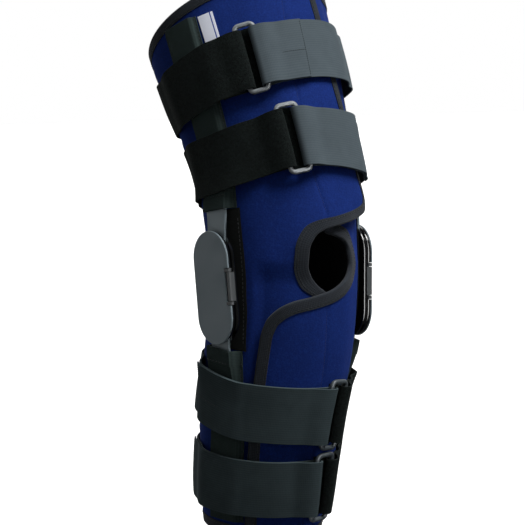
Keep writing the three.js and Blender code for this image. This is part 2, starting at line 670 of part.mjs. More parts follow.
/** Angle on a strap that runs at a slant past its ring. */
function skewed(strap, angle, share) {
  return angle + strap.skew * share * (1 - ramp(Math.abs(angle - strap.ringAngle), 14, 60));
}

/** How far a strap's lower edge stands off the leg on its pull side. */
function flareAt(strap, angle, share) {
  const away = (angle - strap.ringAngle) * strap.pullSide;
  return STRAP.flare * (0.5 - share) * ramp(away, 45, 80) * (1 - ramp(away, 150, 172));
}

/** Thickness, direction round the leg and bar of the half of a strap that a path follows. */
function strapHalf(strap, onPullSide) {
  const thickness = onPullSide ? STRAP.pull : STRAP.loop;
  const way = strap.pullSide * (onPullSide ? 1 : -1);
  const bar = strap.ringAngle + way * turn(RING.halfWidth, strap.atRing, strap.ringAngle);
  return { thickness, way, bar, bendRadius: RING.rod + STRAP.barGap + thickness / 2 };
}

/** Side view of a strap as {angle, seatAngle, rise} stations; rise is its middle's height over its seat. */
function strapPath(strap, onPullSide) {
  const { thickness, way, bar, bendRadius } = strapHalf(strap, onPullSide);
  const degrees = (distance) => turn(distance, strap.atRing, strap.ringAngle);
  const low = thickness / 2;
  const stacked = low + thickness + STRAP.layerGap;
  const back = way * (180 - degrees(STRAP.backJoin));
  const tailEnd = onPullSide ? strap.foldEnd : bar + way * degrees(STRAP.tail);
  const shoulder = bar + way * degrees(RING.rod);
  const overRise = (angle) => {
    const run = Math.abs(angle - shoulder);
    const pastTail = onPullSide ? 0 : ramp(run, degrees(STRAP.tail), degrees(STRAP.tail + STRAP.settle));
    const layered = THREE.MathUtils.lerp(stacked, low, pastTail);
    return THREE.MathUtils.lerp(low + 2 * bendRadius, layered, ramp(run, 0, degrees(STRAP.settle)));
  };
  const underRise = () => low;
  const walk = (from, rise) => {
    const count = Math.max(2, Math.ceil(Math.abs(shoulder - from) / STRAP.pitch));
    return Array.from({ length: count + 1 }, (_, k) => {
      const angle = THREE.MathUtils.lerp(from, shoulder, k / count);
      return { angle, seatAngle: angle, rise: rise(angle) };
    });
  };
  const hairpin = Array.from({ length: STRAP.hairpinSteps + 1 }, (_, k) => {
    const swing = -Math.PI / 2 + (Math.PI * k) / STRAP.hairpinSteps;
    const angle = bar - way * degrees(bendRadius * Math.cos(swing));
    return { angle, seatAngle: bar, rise: low + bendRadius + bendRadius * Math.sin(swing) };
  });
  if (onPullSide) return [...walk(back, underRise), ...hairpin, ...walk(tailEnd, overRise).reverse()];
  return [...walk(back, overRise), ...hairpin.reverse(), ...walk(tailEnd, underRise).reverse()];
}

/** Height of a strap's under face over the sleeve. */
function strapSeat(strap, place, angle, share) {
  return STRAP.seat + pileUnder(place, skewed(strap, angle, share)) + flareAt(strap, angle, share);
}

function makeStrap(strap, onPullSide) {
  const { thickness } = strapHalf(strap, onPullSide);
  const path = strapPath(strap, onPullSide);
  const last = path.length - 1;
  const perDegree = 1 / turn(1, strap.atRing, strap.ringAngle);
  const normals = path.map((_, i) => {
    const ahead = path[Math.min(i + 1, last)];
    const behind = path[Math.max(i - 1, 0)];
    const round = (ahead.angle - behind.angle) * perDegree;
    const run = new THREE.Vector2(round, ahead.rise - behind.rise).normalize();
    return new THREE.Vector2(-run.y, run.x);
  });
  const band = bentCut(last, onPullSide ? STRAP.pullColumns : STRAP.loopColumns, (u, v, w) => {
    const i = Math.round(u * last);
    const { angle, seatAngle, rise } = path[i];
    const off = (w - 0.5) * thickness;
    const place = acrossStrap(strap, angle, v - 0.5);
    return formPoint(
      place,
      skewed(strap, angle, v - 0.5) + (normals[i].x * off) / perDegree,
      strapSeat(strap, place, seatAngle, v - 0.5) + rise + normals[i].y * off,
    );
  });
  const kind = onPullSide ? "pull" : "loop";
  const finish = onPullSide ? (strap.atRing > 0 ? "pullThigh" : "pullCalf") : "loop";
  return part(`${strap.name}_${kind}_strap`, band, finish);
}

/** Middle of the bend that one half of a strap makes round its bar, at a share of the strap's width. */
function bendCentre(strap, onPullSide, share) {
  const { thickness, bar, bendRadius } = strapHalf(strap, onPullSide);
  const place = acrossStrap(strap, bar, share);
  const lift = strapSeat(strap, place, bar, share) + thickness / 2 + bendRadius;
  return formPoint(place, skewed(strap, bar, share), lift);
}

/** Adds a rectangle with rounded corners to a path. */
function roundedRectangle(path, halfWidth, halfHeight, corner) {
  const [x, y] = [halfWidth - corner, halfHeight - corner];
  path.absarc(x, y, corner, 0, Math.PI / 2, false);
  path.absarc(-x, y, corner, Math.PI / 2, Math.PI, false);
  path.absarc(-x, -y, corner, Math.PI, 1.5 * Math.PI, false);
  path.absarc(x, -y, corner, 1.5 * Math.PI, 2 * Math.PI, false);
  path.closePath();
  return path;
}

function makeRing(strap) {
  const middles = [true, false].map((onPullSide) => {
    const ends = bendCentre(strap, onPullSide, 0.5).add(bendCentre(strap, onPullSide, -0.5));
    return ends.addScaledVector(bendCentre(strap, onPullSide, 0), 2).multiplyScalar(0.25);
  });
  const along = bendCentre(strap, true, 0.5).add(bendCentre(strap, false, 0.5))
    .sub(bendCentre(strap, true, -0.5)).sub(bendCentre(strap, false, -0.5)).normalize();
  const across = middles[0].clone().sub(middles[1]);
  const halfWidth = across.length() / 2;
  const halfHeight = strap.width / 2 + RING.endGap + RING.rod;
  across.addScaledVector(along, -across.dot(along)).normalize();
  const normal = new THREE.Vector3().crossVectors(across, along);
  const { rod, edge, corner } = RING;
  const inset = rod - edge;
  const outline = roundedRectangle(new THREE.Shape(), halfWidth + inset, halfHeight + inset, corner + inset);
  const hole = new THREE.Path();
  outline.holes.push(roundedRectangle(hole, halfWidth - inset, halfHeight - inset, corner - inset));
  const loop = new THREE.ExtrudeGeometry(outline, {
    depth: 2 * (rod - edge), bevelEnabled: true, bevelThickness: edge, bevelSize: edge, bevelSegments: 1,
    curveSegments: RING.arcSteps,
  });
  const ring = part(`${strap.name}_ring`, loop.translate(0, 0, edge - rod), "ring");
  const centre = middles[0].add(middles[1]).multiplyScalar(0.5);
  ring.applyMatrix4(new THREE.Matrix4().makeBasis(across, along, normal).setPosition(centre));
  return ring;
}

function makeLabel() {
  const width = turn(LABEL.width, LABEL.place, LABEL.angle);
  const patch = bentCut(2, 2, (u, v, w) => formPoint(
    LABEL.place + (u - 0.5) * LABEL.height,
    LABEL.angle + (v - 0.5) * width,
    LABEL.seat + w * LABEL.cloth,
  ));
  return part("blank_label", patch, "label");
}

const brace = new THREE.Group();
brace.add(makeSleeve(), ...makeBindings(), makeHinge("left", -1), makeHinge("right", 1), makeLabel());
for (const strap of STRAPS) brace.add(makeStrap(strap, true), makeStrap(strap, false), makeRing(strap));

export default brace;
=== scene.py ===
"""Dresses the hinged knee brace: bound neoprene sleeve, lidded hinges, straps, rings and the studio."""

from __future__ import annotations

import logging
import math
from bisect import bisect_right
from dataclasses import dataclass
from enum import Enum
from functools import cached_property
from typing import Any, Callable, NamedTuple, Sequence

import bmesh
import bpy
from mathutils import Matrix, Vector

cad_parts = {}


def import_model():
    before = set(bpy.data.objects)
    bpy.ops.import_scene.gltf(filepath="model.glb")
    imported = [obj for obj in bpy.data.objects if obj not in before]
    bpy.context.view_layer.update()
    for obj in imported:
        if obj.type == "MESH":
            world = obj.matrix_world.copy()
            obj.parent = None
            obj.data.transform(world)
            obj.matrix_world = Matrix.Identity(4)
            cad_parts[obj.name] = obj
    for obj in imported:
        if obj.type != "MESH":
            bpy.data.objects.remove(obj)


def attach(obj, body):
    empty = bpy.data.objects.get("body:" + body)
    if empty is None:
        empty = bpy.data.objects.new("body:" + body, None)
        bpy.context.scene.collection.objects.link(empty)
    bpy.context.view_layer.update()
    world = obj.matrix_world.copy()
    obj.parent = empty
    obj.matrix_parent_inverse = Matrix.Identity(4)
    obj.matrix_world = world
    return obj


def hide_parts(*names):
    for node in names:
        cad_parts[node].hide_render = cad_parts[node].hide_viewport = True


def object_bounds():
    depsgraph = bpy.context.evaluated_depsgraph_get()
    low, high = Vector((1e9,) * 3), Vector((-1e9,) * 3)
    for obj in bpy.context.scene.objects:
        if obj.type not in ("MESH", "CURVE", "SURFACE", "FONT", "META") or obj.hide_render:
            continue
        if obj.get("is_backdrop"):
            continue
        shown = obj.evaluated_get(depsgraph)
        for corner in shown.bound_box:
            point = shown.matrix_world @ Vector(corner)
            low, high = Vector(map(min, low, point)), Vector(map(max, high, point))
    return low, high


MM = 0.001
BODY = "brace"
SLEEVE = "sleeve_cloth"
UV_MAP = "cloth"
LOG = logging.getLogger("knee_brace")

Span = tuple[float, float]
Where = Callable[[float, float], Vector]
Mesh = bmesh.types.BMesh
Piece = bpy.types.Object
Tree = bpy.types.NodeTree
Socket = bpy.types.NodeSocket

# Numbers


def ramp(value: float, start: float, end: float) -> float:
    """Cubic step from 0 at start to 1 at end, level at both."""
    share = min(max((value - start) / (end - start), 0.0), 1.0)
    return share * share * (3 - 2 * share)


def mix(start: float, end: float, share: float) -> float:
    """Value at a share of the way from start to end."""
    return start + (end - start) * share


def spread(start: float, end: float, steps: int) -> list[float]:
    """Even values from start to end, with both of them."""
    return [mix(start, end, k / steps) for k in range(steps + 1)]


@dataclass(frozen=True)
class SmoothTable:
    """Smooth curve through rows of (place, value) that doesn't overshoot them."""

    rows: tuple[Span, ...]

    @cached_property
    def slopes(self) -> tuple[float, ...]:
        """Slope of the curve at each row.

        Returns:
            The slopes in the rows' order.
        """
        runs = [(b[1] - a[1]) / (b[0] - a[0]) for a, b in zip(self.rows, self.rows[1:])]
        inner = [0.0 if a * b <= 0 else 2 * a * b / (a + b) for a, b in zip(runs, runs[1:])]
        return (runs[0], *inner, runs[-1])

    def at(self, place: float) -> float:
        """Value of the curve at a place.

        Args:
            place: Where to read it; past the ends it keeps the end rows' values.

        Returns:
            The value on the smooth curve.
        """
        if place <= self.rows[0][0]:
            return self.rows[0][1]
        if place >= self.rows[-1][0]:
            return self.rows[-1][1]
        i = bisect_right(self.rows, (place, math.inf)) - 1
        (x0, y0), (x1, y1) = self.rows[i : i + 2]
        span = x1 - x0
        t = (place - x0) / span
        rise = (1 - t) * self.slopes[i] * span - t * self.slopes[i + 1] * span
        return mix(y0, y1, t * t * (3 - 2 * t)) + t * (1 - t) * rise


# Shader nodes

# Sockets of the mix node: its factor, its two numbers, its two colours and the colour that it gives.
FACTOR, NUMBER_A, NUMBER_B, COLOUR_A, COLOUR_B, COLOUR_OUT = 0, 2, 3, 6, 7, 2
# A wave texture takes 20 times its scale in radians for each unit.
WAVE_SCALE = 2 * math.pi / 20


def linear_colour(code: str) -> tuple[float, float, float, float]:
    """Linear colour of an sRGB hex code."""
    channels = [int(code[i : i + 2], 16) / 255 for i in (0, 2, 4)]
    return (*[c / 12.92 if c <= 0.04045 else ((c + 0.055) / 1.055) ** 2.4 for c in channels], 1.0)


def feed(node: bpy.types.Node, inputs: dict[str | int, Any]) -> None:
    """Sets a node's inputs.

    Args:
        node: The node.
        inputs: Constants or other nodes' outputs by socket name or number.
    """
    for key, value in inputs.items():
        if isinstance(value, Socket):
            node.id_data.links.new(value, node.inputs[key])
        else:
            node.inputs[key].default_value = value


def add_node(tree: Tree, kind: str, inputs: dict[str | int, Any], **settings: Any) -> bpy.types.Node:
    """Adds a node with its settings and inputs.

    Args:
        tree: The node tree.
        kind: The node's type, without the ShaderNode that every name starts with.
        inputs: Constants or other nodes' outputs by socket name or number.
        **settings: The node's own settings.

    Returns:
        The new node.
    """
    made = tree.nodes.new(f"ShaderNode{kind}")
    for key, value in settings.items():
        setattr(made, key, value)
    feed(made, inputs)
    return made


def coordinates(tree: Tree, kind: str = "Object") -> Socket:
    """Adds the coordinates of the object or of the sky."""
    return add_node(tree, "TexCoord", {}).outputs[kind]


def cloth_map(tree: Tree) -> Socket:
    """Adds the flat coordinates of a cut of cloth, in metres."""
    return add_node(tree, "UVMap", {}, uv_map=UV_MAP).outputs["UV"]


def noise(
    tree: Tree, at: Socket, scale: float, detail: float, rough: float = 0.5, twist: float = 0.0
) -> Socket:
    """Adds noise from 0 to 1 with a scale for each metre."""
    inputs = {"Vector": at, "Scale": scale, "Detail": detail, "Roughness": rough, "Distortion": twist}
    return add_node(tree, "TexNoise", inputs).outputs["Fac"]


def ribs(tree: Tree, at: Socket, pitch: float, way: str, waver: float) -> Socket:
    """Adds ribs from 0 to 1 with a pitch in metres along the way X or Y."""
    inputs = {"Vector": at, "Scale": WAVE_SCALE / pitch, "Distortion": waver, "Detail": 1.0}
    return add_node(tree, "TexWave", inputs, bands_direction=way).outputs["Fac"]


def remap(tree: Tree, value: Socket, start: float, end: float, low: float = 0.0, high: float = 1.0) -> Socket:
    """Adds a step that carries the range from start to end to that from low to high."""
    inputs = {"Value": value, "From Min": start, "From Max": end, "To Min": low, "To Max": high}
    return add_node(tree, "MapRange", inputs).outputs[0]


def blend(tree: Tree, factor: Socket | float, first: Socket | float, second: Socket | float) -> Socket:
    """Adds a mix of two numbers."""
    inputs = {FACTOR: factor, NUMBER_A: first, NUMBER_B: second}
    return add_node(tree, "Mix", inputs, data_type="FLOAT").outputs[0]


def tint(tree: Tree, factor: Socket, first: Any, second: Any) -> Socket:
    """Adds a mix of two colours."""
    inputs = {FACTOR: factor, COLOUR_A: first, COLOUR_B: second}
    return add_node(tree, "Mix", inputs, data_type="RGBA").outputs[COLOUR_OUT]


def bump(tree: Tree, height: Socket, strength: float, relief: float) -> Socket:
    """Adds the normal of a relief in millimetres."""
    inputs = {"Height": height, "Strength": strength, "Distance": relief * MM}
    return add_node(tree, "Bump", inputs).outputs["Normal"]


# Finishes


class Weave(Enum):
    """How a cloth's surface was made."""

    KNIT = "knit"
    RIB = "rib"
    PILE = "pile"
    PLAIN = "plain"


@dataclass(frozen=True)
class Finish:
    """A surface, with one material that is made when it is first asked for."""

    name: str

    def shade(self, tree: Tree, shader: bpy.types.Node) -> None:
        """Leads the finish's nodes into its material's shader."""
        raise NotImplementedError

    def material(self) -> bpy.types.Material:
        """The finish's material.

        Returns:
            The one material of its name.
        """
        made = bpy.data.materials.get(self.name)
        if made is None:
            made = bpy.data.materials.new(self.name)
            made.use_nodes = True
            self.shade(made.node_tree, made.node_tree.nodes["Principled BSDF"])
        return made


@dataclass(frozen=True)
class ClothFinish(Finish):
    """A cloth: its thread and shadow colours, its weave and its real pitch in millimetres."""

    thread: str
    shadow: str
    weave: Weave
    pitch: float
    relief: float
    roughness: float = 0.9
    sheen: float = 0.2
    mottle: float = 0.16
    stripe: Span | None = None
    stripe_colour: str = "2a3f95"
    loop_spread: float = 0.8
    fuzz_scale: float = 0.55
    tuft_levels: Span = (0.32, 0.68)
    weft_pitch: float = 0.62
    weft_share: float = 0.45
    cloud_size: float = 1000 / 38
    cloud_levels: Span = (0.3, 0.7)

    def height(self, tree: Tree) -> Socket:
        """Height of the threads from 0 to 1.

        Args:
            tree: The material's node tree.

        Returns:
            The socket that carries the height.
        """
        pitch = self.pitch * MM
        if self.weave is Weave.KNIT:
            solid = coordinates(tree)
            cells = {"Vector": solid, "Scale": 1 / pitch, "Randomness": self.loop_spread}
            loops = add_node(tree, "TexVoronoi", cells).outputs["Distance"]
            fuzz = noise(tree, solid, self.fuzz_scale / pitch, 3.0)
            return add_node(tree, "Math", {0: loops, 1: fuzz}, operation="MULTIPLY").outputs[0]
        if self.weave is Weave.PILE:
            tufts = noise(tree, coordinates(tree), 1 / pitch, 4.0, 0.7, 0.6)
            return remap(tree, tufts, *self.tuft_levels)
        flat = cloth_map(tree)
        plain = self.weave is Weave.PLAIN
        warp = ribs(tree, flat, pitch, "Y", 0.4)
        weft = ribs(tree, flat, pitch if plain else pitch * self.weft_pitch, "X", 0.6)
        return blend(tree, 0.5 if plain else self.weft_share, warp, weft)

    def coloured(self, tree: Tree, height: Socket) -> Socket:
        """Thread colour over shadow colour, with the uneven dye and rubbing of used cloth.

        Args:
            tree: The material's node tree.
            height: Height of the threads.

        Returns:
            The socket that carries the colour.
        """
        woven = tint(tree, height, linear_colour(self.shadow), linear_colour(self.thread))
        clouds = noise(tree, coordinates(tree), 1 / (self.cloud_size * MM), 5.0, 0.65)
        dye = remap(tree, clouds, *self.cloud_levels, 1 - self.mottle, 1 + self.mottle)
        dyed = add_node(tree, "VectorMath", {0: woven, "Scale": dye}, operation="SCALE").outputs[0]
        if self.stripe is None:
            return dyed
        across = add_node(tree, "SeparateXYZ", {0: cloth_map(tree)}).outputs["Y"]
        middle, half = (value * MM for value in self.stripe)
        band = add_node(tree, "Math", {0: across, 1: middle, 2: half}, operation="COMPARE").outputs[0]
        return tint(tree, band, dyed, linear_colour(self.stripe_colour))

    def shade(self, tree: Tree, shader: bpy.types.Node) -> None:
        """Draws the threads in colour and in relief.

        Args:
            tree: The material's node tree.
            shader: The node that they lead to.
        """
        height = self.height(tree)
        feed(shader, {
            "Base Color": self.coloured(tree, height),
            "Normal": bump(tree, height, 0.85, self.relief),
            "Roughness": self.roughness,
            "Specular IOR Level": 0.08,
            "Sheen Weight": self.sheen,
            "Sheen Roughness": 0.55,
        })


@dataclass(frozen=True)
class HardFinish(Finish):
    """A moulded or anodised surface: its colour, gloss, grain size in millimetres and rubbed tone."""

    colour: str
    rubbed: str
    roughness: float
    grain: float
    relief: float
    metallic: float = 0.0
    coat: float = 0.0
    stretch: tuple[float, float, float] = (1.0, 1.0, 1.0)
    rub_size: float = 1000 / 55
    rub_levels: Span = (0.42, 0.75)
    rub_most: float = 0.6
    gloss_levels: Span = (0.3, 0.7)
    gloss_shares: Span = (0.85, 1.2)

    def shade(self, tree: Tree, shader: bpy.types.Node) -> None:
        """Draws the grain and the rubbed patches.

        Args:
            tree: The material's node tree.
            shader: The node that they lead to.
        """
        solid = coordinates(tree)
        drawn = add_node(tree, "Mapping", {"Vector": solid, "Scale": self.stretch}).outputs[0]
        grain = noise(tree, drawn, 1 / (self.grain * MM), 3.0, 0.6)
        rubs = noise(tree, solid, 1 / (self.rub_size * MM), 6.0, 0.7)
        worn = remap(tree, rubs, *self.rub_levels, high=self.rub_most)
        polished, dulled = (min(self.roughness * share, 1.0) for share in self.gloss_shares)
        feed(shader, {
            "Base Color": tint(tree, worn, linear_colour(self.colour), linear_colour(self.rubbed)),
            "Roughness": remap(tree, rubs, *self.gloss_levels, polished, dulled),
            "Normal": bump(tree, grain, 0.5, self.relief),
            "Metallic": self.metallic,
            "Coat Weight": self.coat,
            "Coat Roughness": 0.12,
        })


@dataclass(frozen=True)
class PaperFinish(Finish):
    """Matt paper of one colour."""

    colour: str

    def shade(self, tree: Tree, shader: bpy.types.Node) -> None:
        """Sets the paper's colour and dullness."""
        inputs = {"Base Color": linear_colour(self.colour), "Roughness": 0.95, "Specular IOR Level": 0.1}
        feed(shader, inputs)


# Nylon jersey bonded to foam neoprene: a matt, deep blue face with a fine uneven grain of loops.
# The loops are under a millimetre, so they are drawn coarser to show.
NEOPRENE = ClothFinish(
    "blue_nylon_faced_neoprene", "1c3886", "11245e", Weave.KNIT, 1.7, 0.18, sheen=0.0, mottle=0.08
)
# Black jersey on the foam's inner face, dull and even.
LINING = ClothFinish("black_jersey_lining", "2c3033", "16181a", Weave.KNIT, 1.5, 0.2, sheen=0.1)
# Woven nylon tape folded over raw edges: charcoal, with cross ribs that catch a little light.
TAPE = ClothFinish("charcoal_woven_binding_tape", "2d3137", "1f2328", Weave.PLAIN, 1.5, 0.12, sheen=0.06)
# Brushed black cloth of the pockets: soft, with a faint brown-green cast.
POCKET_CLOTH = ClothFinish(
    "black_brushed_pocket_cloth", "2f3938", "202a29", Weave.PLAIN, 1.3, 0.12, sheen=0.0
)
# Black foam-backed cloth of the pads: flat and the darkest of the cloths.
PAD_CLOTH = ClothFinish(
    "black_foam_backed_pad_cloth", "090b0b", "040505", Weave.PLAIN, 1.3, 0.12, sheen=0.0
)
# Ribbed elastic webbing with ribs along it and a finer weft, grey on the thigh and charcoal on the calf,
# where the darker colour is painted shade for the dimmer light on the calf straps.
THIGH_WEBBING = ClothFinish(
    "grey_ribbed_elastic_webbing", "50595e", "465056", Weave.RIB, 2.0, 0.03, sheen=0.0, mottle=0.1
)
# The same webbing as the thigh's, painted darker as shade.
CALF_SHADED_WEBBING = ClothFinish(
    "charcoal_ribbed_elastic_webbing", "3a4548", "313a3d", Weave.RIB, 2.0, 0.03, sheen=0.0, mottle=0.12
)
# Loop side of hook-and-loop tape: a dense black pile that swallows light.
LOOP_PILE = ClothFinish(
    "black_loop_pile_webbing", "161c1b", "070909", Weave.PILE, 2.1, 0.4, 1.0, sheen=0.0, mottle=0.2
)
# Satin woven label, blank apart from a thin border thread.
LABEL_SATIN = ClothFinish(
    "white_woven_label", "f2f4fc", "dbe1f2", Weave.PLAIN, 0.7, 0.06, 0.6, sheen=0.1, mottle=0.04,
    stripe=(11.4, 0.5),
)
# Bonded polyester sewing thread, slightly brighter than the cloth that it sinks into.
THREAD = ClothFinish("black_bonded_thread", "26292b", "141617", Weave.PILE, 0.6, 0.05, 0.6, sheen=0.1)
BLUE_THREAD = ClothFinish("navy_bonded_thread", "14245c", "0b1639", Weave.PILE, 0.6, 0.05, 0.6, sheen=0.1)
# Fine-grained moulded nylon of the lids: matt grey, rubbed a little paler.
LID_NYLON = HardFinish("grey_moulded_nylon_lid", "5f6b71", "667278", 0.62, 0.7, 0.03)
# The knuckle is moulded from the darker grade of the trays but not polished.
KNUCKLE_NYLON = HardFinish("charcoal_moulded_nylon_knuckle", "14181a", "1b2022", 0.66, 0.6, 0.02)
# Polished black moulded nylon of the trays: dark with sharp highlights.
TRAY_NYLON = HardFinish("black_gloss_moulded_nylon_tray", "060708", "0b0c0e", 0.16, 0.6, 0.004, coat=0.6)
# Satin acetal rings, pale grey on the thigh and charcoal on the calf, with soft bright edges.
RING_ACETAL = HardFinish("grey_moulded_acetal_ring", "73787b", "808588", 0.4, 0.5, 0.01)
DARK_ACETAL = HardFinish("charcoal_moulded_acetal_ring", "30363a", "3c4347", 0.45, 0.5, 0.01)
# Anodised aluminium bar with a fine lengthwise grain, dull and dark.
ARM_ALUMINIUM = HardFinish(
    "grey_anodised_aluminium_arm", "576267", "606b70", 0.55, 0.35, 0.02, 0.25, stretch=(1.0, 1.0, 0.08)
)
# Bare turned steel: bright and mirror-like beside the dull bars.
RIVET_STEEL = HardFinish("turned_steel_rivet", "a4a8ab", "8b8f92", 0.3, 0.4, 0.01, 1.0)
# White paper that the brace stands over: it takes a soft shadow and no gloss.
FLOOR_PAPER = PaperFinish("matt_white_paper_floor", "fdfdfd")


# Leg form


class FormFrame(NamedTuple):
    """A point on the leg form with its outward normal and the direction round the leg."""

    point: Vector
    normal: Vector
    around: Vector


@dataclass(frozen=True)
class LegForm:
    """Bent leg that the brace is wrapped on, by place along it, angle round it and lift off it."""

    thigh_tilt: float = math.radians(27)
    calf_tilt: float = math.radians(-7.5)
    bend_from: float = -35.0
    bend_to: float = 160.0
    calf_sway: float = -2.6
    sway_span: Span = (-45.0, -115.0)
    axis_rows: tuple[int, int, int] = (-260, 300, 20)
    half_width: SmoothTable = SmoothTable((
        (-235, 49), (-170, 58), (-110, 62), (-50, 65.5), (0, 66), (60, 67.5), (105, 69.6), (145, 74.2),
        (185, 79), (250, 83.3),
    ))
    front: SmoothTable = SmoothTable((
        (-235, 48), (-170, 55), (-110, 59.5), (-50, 63.5), (0, 64.5), (60, 66.2), (105, 67.8), (145, 72.4),
        (185, 77.8), (250, 82),
    ))
    back: SmoothTable = SmoothTable((
        (-235, 51), (-170, 64), (-110, 67), (-50, 63.5), (0, 61.5), (60, 65), (105, 69.2), (145, 75),
        (185, 80), (250, 83.5),
    ))

    def tilt(self, place: float) -> float:
        """Backward tilt of the leg's axis at a place, in radians."""
        share = (place - self.bend_from) / (self.bend_to - self.bend_from)
        return mix(self.calf_tilt, self.thigh_tilt, min(max(share, 0.0), 1.0))

    def axis(self, place: float) -> Vector:
        """Point of the bent axis: an arc through the knee with straight runs above and below.

        Args:
            place: Distance along the axis.

        Returns:
            The point in millimetres.
        """
        curvature = (self.thigh_tilt - self.calf_tilt) / (self.bend_to - self.bend_from)
        on_arc = min(max(place, self.bend_from), self.bend_to)
        knee = self.tilt(0)
        tilt = self.tilt(on_arc)
        straight = place - on_arc
        return Vector((
            self.calf_sway * ramp(place, *self.sway_span),
            (math.cos(knee) - math.cos(tilt)) / curvature + straight * math.sin(tilt),
            (math.sin(tilt) - math.sin(knee)) / curvature + straight * math.cos(tilt),
        ))

    def point(self, place: float, angle: float, lift: float = 0.0) -> Vector:
        """Point over the form.

        Args:
            place: Distance along the axis, 0 at the hinges and positive up the thigh.
            angle: Degrees round the leg, 0 at the front and negative on the -X side.
            lift: Distance outwards from the sleeve's outer face.

        Returns:
            The point in millimetres.
        """
        tilt = self.tilt(place)
        swing = math.radians(angle)
        table = self.front if math.cos(swing) > 0 else self.back
        forward = (table.at(place) + lift) * math.cos(swing)
        across = (self.half_width.at(place) + lift) * math.sin(swing)
        return self.axis(place) + Vector((across, -forward * math.cos(tilt), forward * math.sin(tilt)))

    def frame(self, place: float, angle: float, lift: float = 0.0) -> FormFrame:
        """Point over the form with its directions.

        Args:
            place: Distance along the axis.
            angle: Degrees round the leg.
            lift: Distance off the sleeve.

        Returns:
            The point, the outward normal and the direction round the leg.
        """
        point = self.point(place, angle, lift)
        normal = (self.point(place, angle, lift + 1) - point).normalized()
        along = (self.point(place + 1, angle, lift) - point).normalized()
        return FormFrame(point, normal, along.cross(normal).normalized())

    def turn(self, distance: float, place: float, angle: float) -> float:
        """Degrees round the leg that a distance takes up."""
        return distance / (self.point(place, angle + 0.5) - self.point(place, angle - 0.5)).length

    @cached_property
    def axis_by_height(self) -> SmoothTable:
        """Depth of the axis at each height."""
        points = [self.axis(place) for place in range(*self.axis_rows)]
        return SmoothTable(tuple((p.z, p.y) for p in points))

    def outward(self, point: Vector) -> Vector:
        """Level direction from the leg's axis to a point."""
        return Vector((point.x, point.y - self.axis_by_height.at(point.z), 0))


# Making pieces


def new_piece(name: str, bm: Mesh, crease: float = 180.0) -> Piece:
    """Makes an object in metres from a mesh in millimetres.

    Args:
        name: The piece's name.
        bm: The mesh, which is freed.
        crease: Angle in degrees past which edges stay sharp.

    Returns:
        The new object at the origin.
    """
    bmesh.ops.scale(bm, vec=(MM, MM, MM), verts=bm.verts[:])
    mesh = bpy.data.meshes.new(name)
    bm.to_mesh(mesh)
    bm.free()
    mesh.shade_smooth()
    if crease < 180:
        mesh.set_sharp_from_angle(angle=math.radians(crease))
    piece = bpy.data.objects.new(name, mesh)
    bpy.context.collection.objects.link(piece)
    return piece


def placed(origin: Vector, x: Vector, y: Vector, z: Vector) -> Matrix:
    """Matrix that carries the axes to three directions from an origin."""
    return Matrix.Translation(origin) @ Matrix((x, y, z)).transposed().to_4x4()


def of_kind(geometry: Sequence[Any], kind: type) -> list[Any]:
    """The vertices, edges or faces among what a mesh step gives back."""
    return [part for part in geometry if isinstance(part, kind)]


def bent_cut(
    name: str, form: LegForm, steps: tuple[int, int], size: Span, where: Where, judged: Span = (1.0, 1.0)
) -> Piece:
    """Bends a flat cut of cloth into place, faces away from the leg.

    Args:
        name: The piece's name.
        form: The leg form that it lies on.
        steps: Cells along and across the cut.
        size: Flat length and width in millimetres, the scale of its UV map.
        where: Gives the place in millimetres for shares along and across.
        judged: Shares along and across of the part that settles which side faces out.

    Returns:
        The new one-layer piece.
    """
    bm = bmesh.new()
    layer = bm.loops.layers.uv.new(UV_MAP)
    bmesh.ops.create_grid(bm, x_segments=steps[0], y_segments=steps[1], size=0.5)
    for face in bm.faces:
        for loop in face.loops:
            flat = loop.vert.co
            loop[layer].uv = ((flat.x + 0.5) * size[0] * MM, (flat.y + 0.5) * size[1] * MM)
    middles = [(face, face.calc_center_median()) for face in bm.faces]
    leading = [face for face, at in middles if at.x + 0.5 <= judged[0] and at.y + 0.5 <= judged[1]]
    for vert in bm.verts:
        vert.co = where(vert.co.x + 0.5, vert.co.y + 0.5)
    bm.normal_update()
    facing = sum(f.normal.dot(form.outward(f.calc_center_median())) * f.calc_area() for f in leading)
    if facing < 0:
        bmesh.ops.reverse_faces(bm, faces=bm.faces[:])
    return new_piece(name, bm)


def thicken(
    piece: Piece, thickness: float, side: float, rounding: float, lining: bool = False, even: bool = True
) -> None:
    """Gives a cut its thickness and softened rims.

    Args:
        piece: The one-layer piece.
        thickness: Thickness in millimetres.
        side: 1 to grow outwards, -1 inwards and 0 both ways.
        rounding: Radius of the rims in millimetres.
        lining: Whether the inner face takes the piece's second material.
        even: Whether bends keep the full thickness; a tight fold can do without.
    """
    solid = piece.modifiers.new("thickness", "SOLIDIFY")
    solid.thickness = thickness * MM
    solid.offset = side
    solid.use_even_offset = even
    solid.material_offset = 1 if lining else 0
    rims = piece.modifiers.new("rims", "BEVEL")
    rims.width = rounding * MM
    rims.segments = 2
    rims.limit_method = "ANGLE"
    rims.angle_limit = math.radians(55)
    rims.harden_normals = True


def dress(piece: Piece, finish: Finish, slot: str, body: str = BODY, nodes: Sequence[str] = ()) -> None:
    """Gives a piece its finish, its body and the solids that it stands for.

    Args:
        piece: The finished piece.
        finish: Its surface.
        slot: A material slot's name; not used.
        body: The body that it moves with.
        nodes: The solids that it replaces.
    """
    piece.data.materials.append(finish.material())
    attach(piece, body)
    if nodes:
        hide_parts(*nodes)
    LOG.info("%s: %s, %d faces", piece.name, finish.name, len(piece.data.polygons))


def lay_sheet(piece: Piece, size: Span) -> None:
    """Works out a sheet's flat width from its length, its named width or the width that its area needs; the
    result is not kept.

    Args:
        piece: The sheet, whose mesh is one layer.
        size: Its length and its named width in millimetres.
    """
    area = sum(polygon.area for polygon in piece.data.polygons)
    length, width = (value * MM for value in size)
    max(width, area / length)


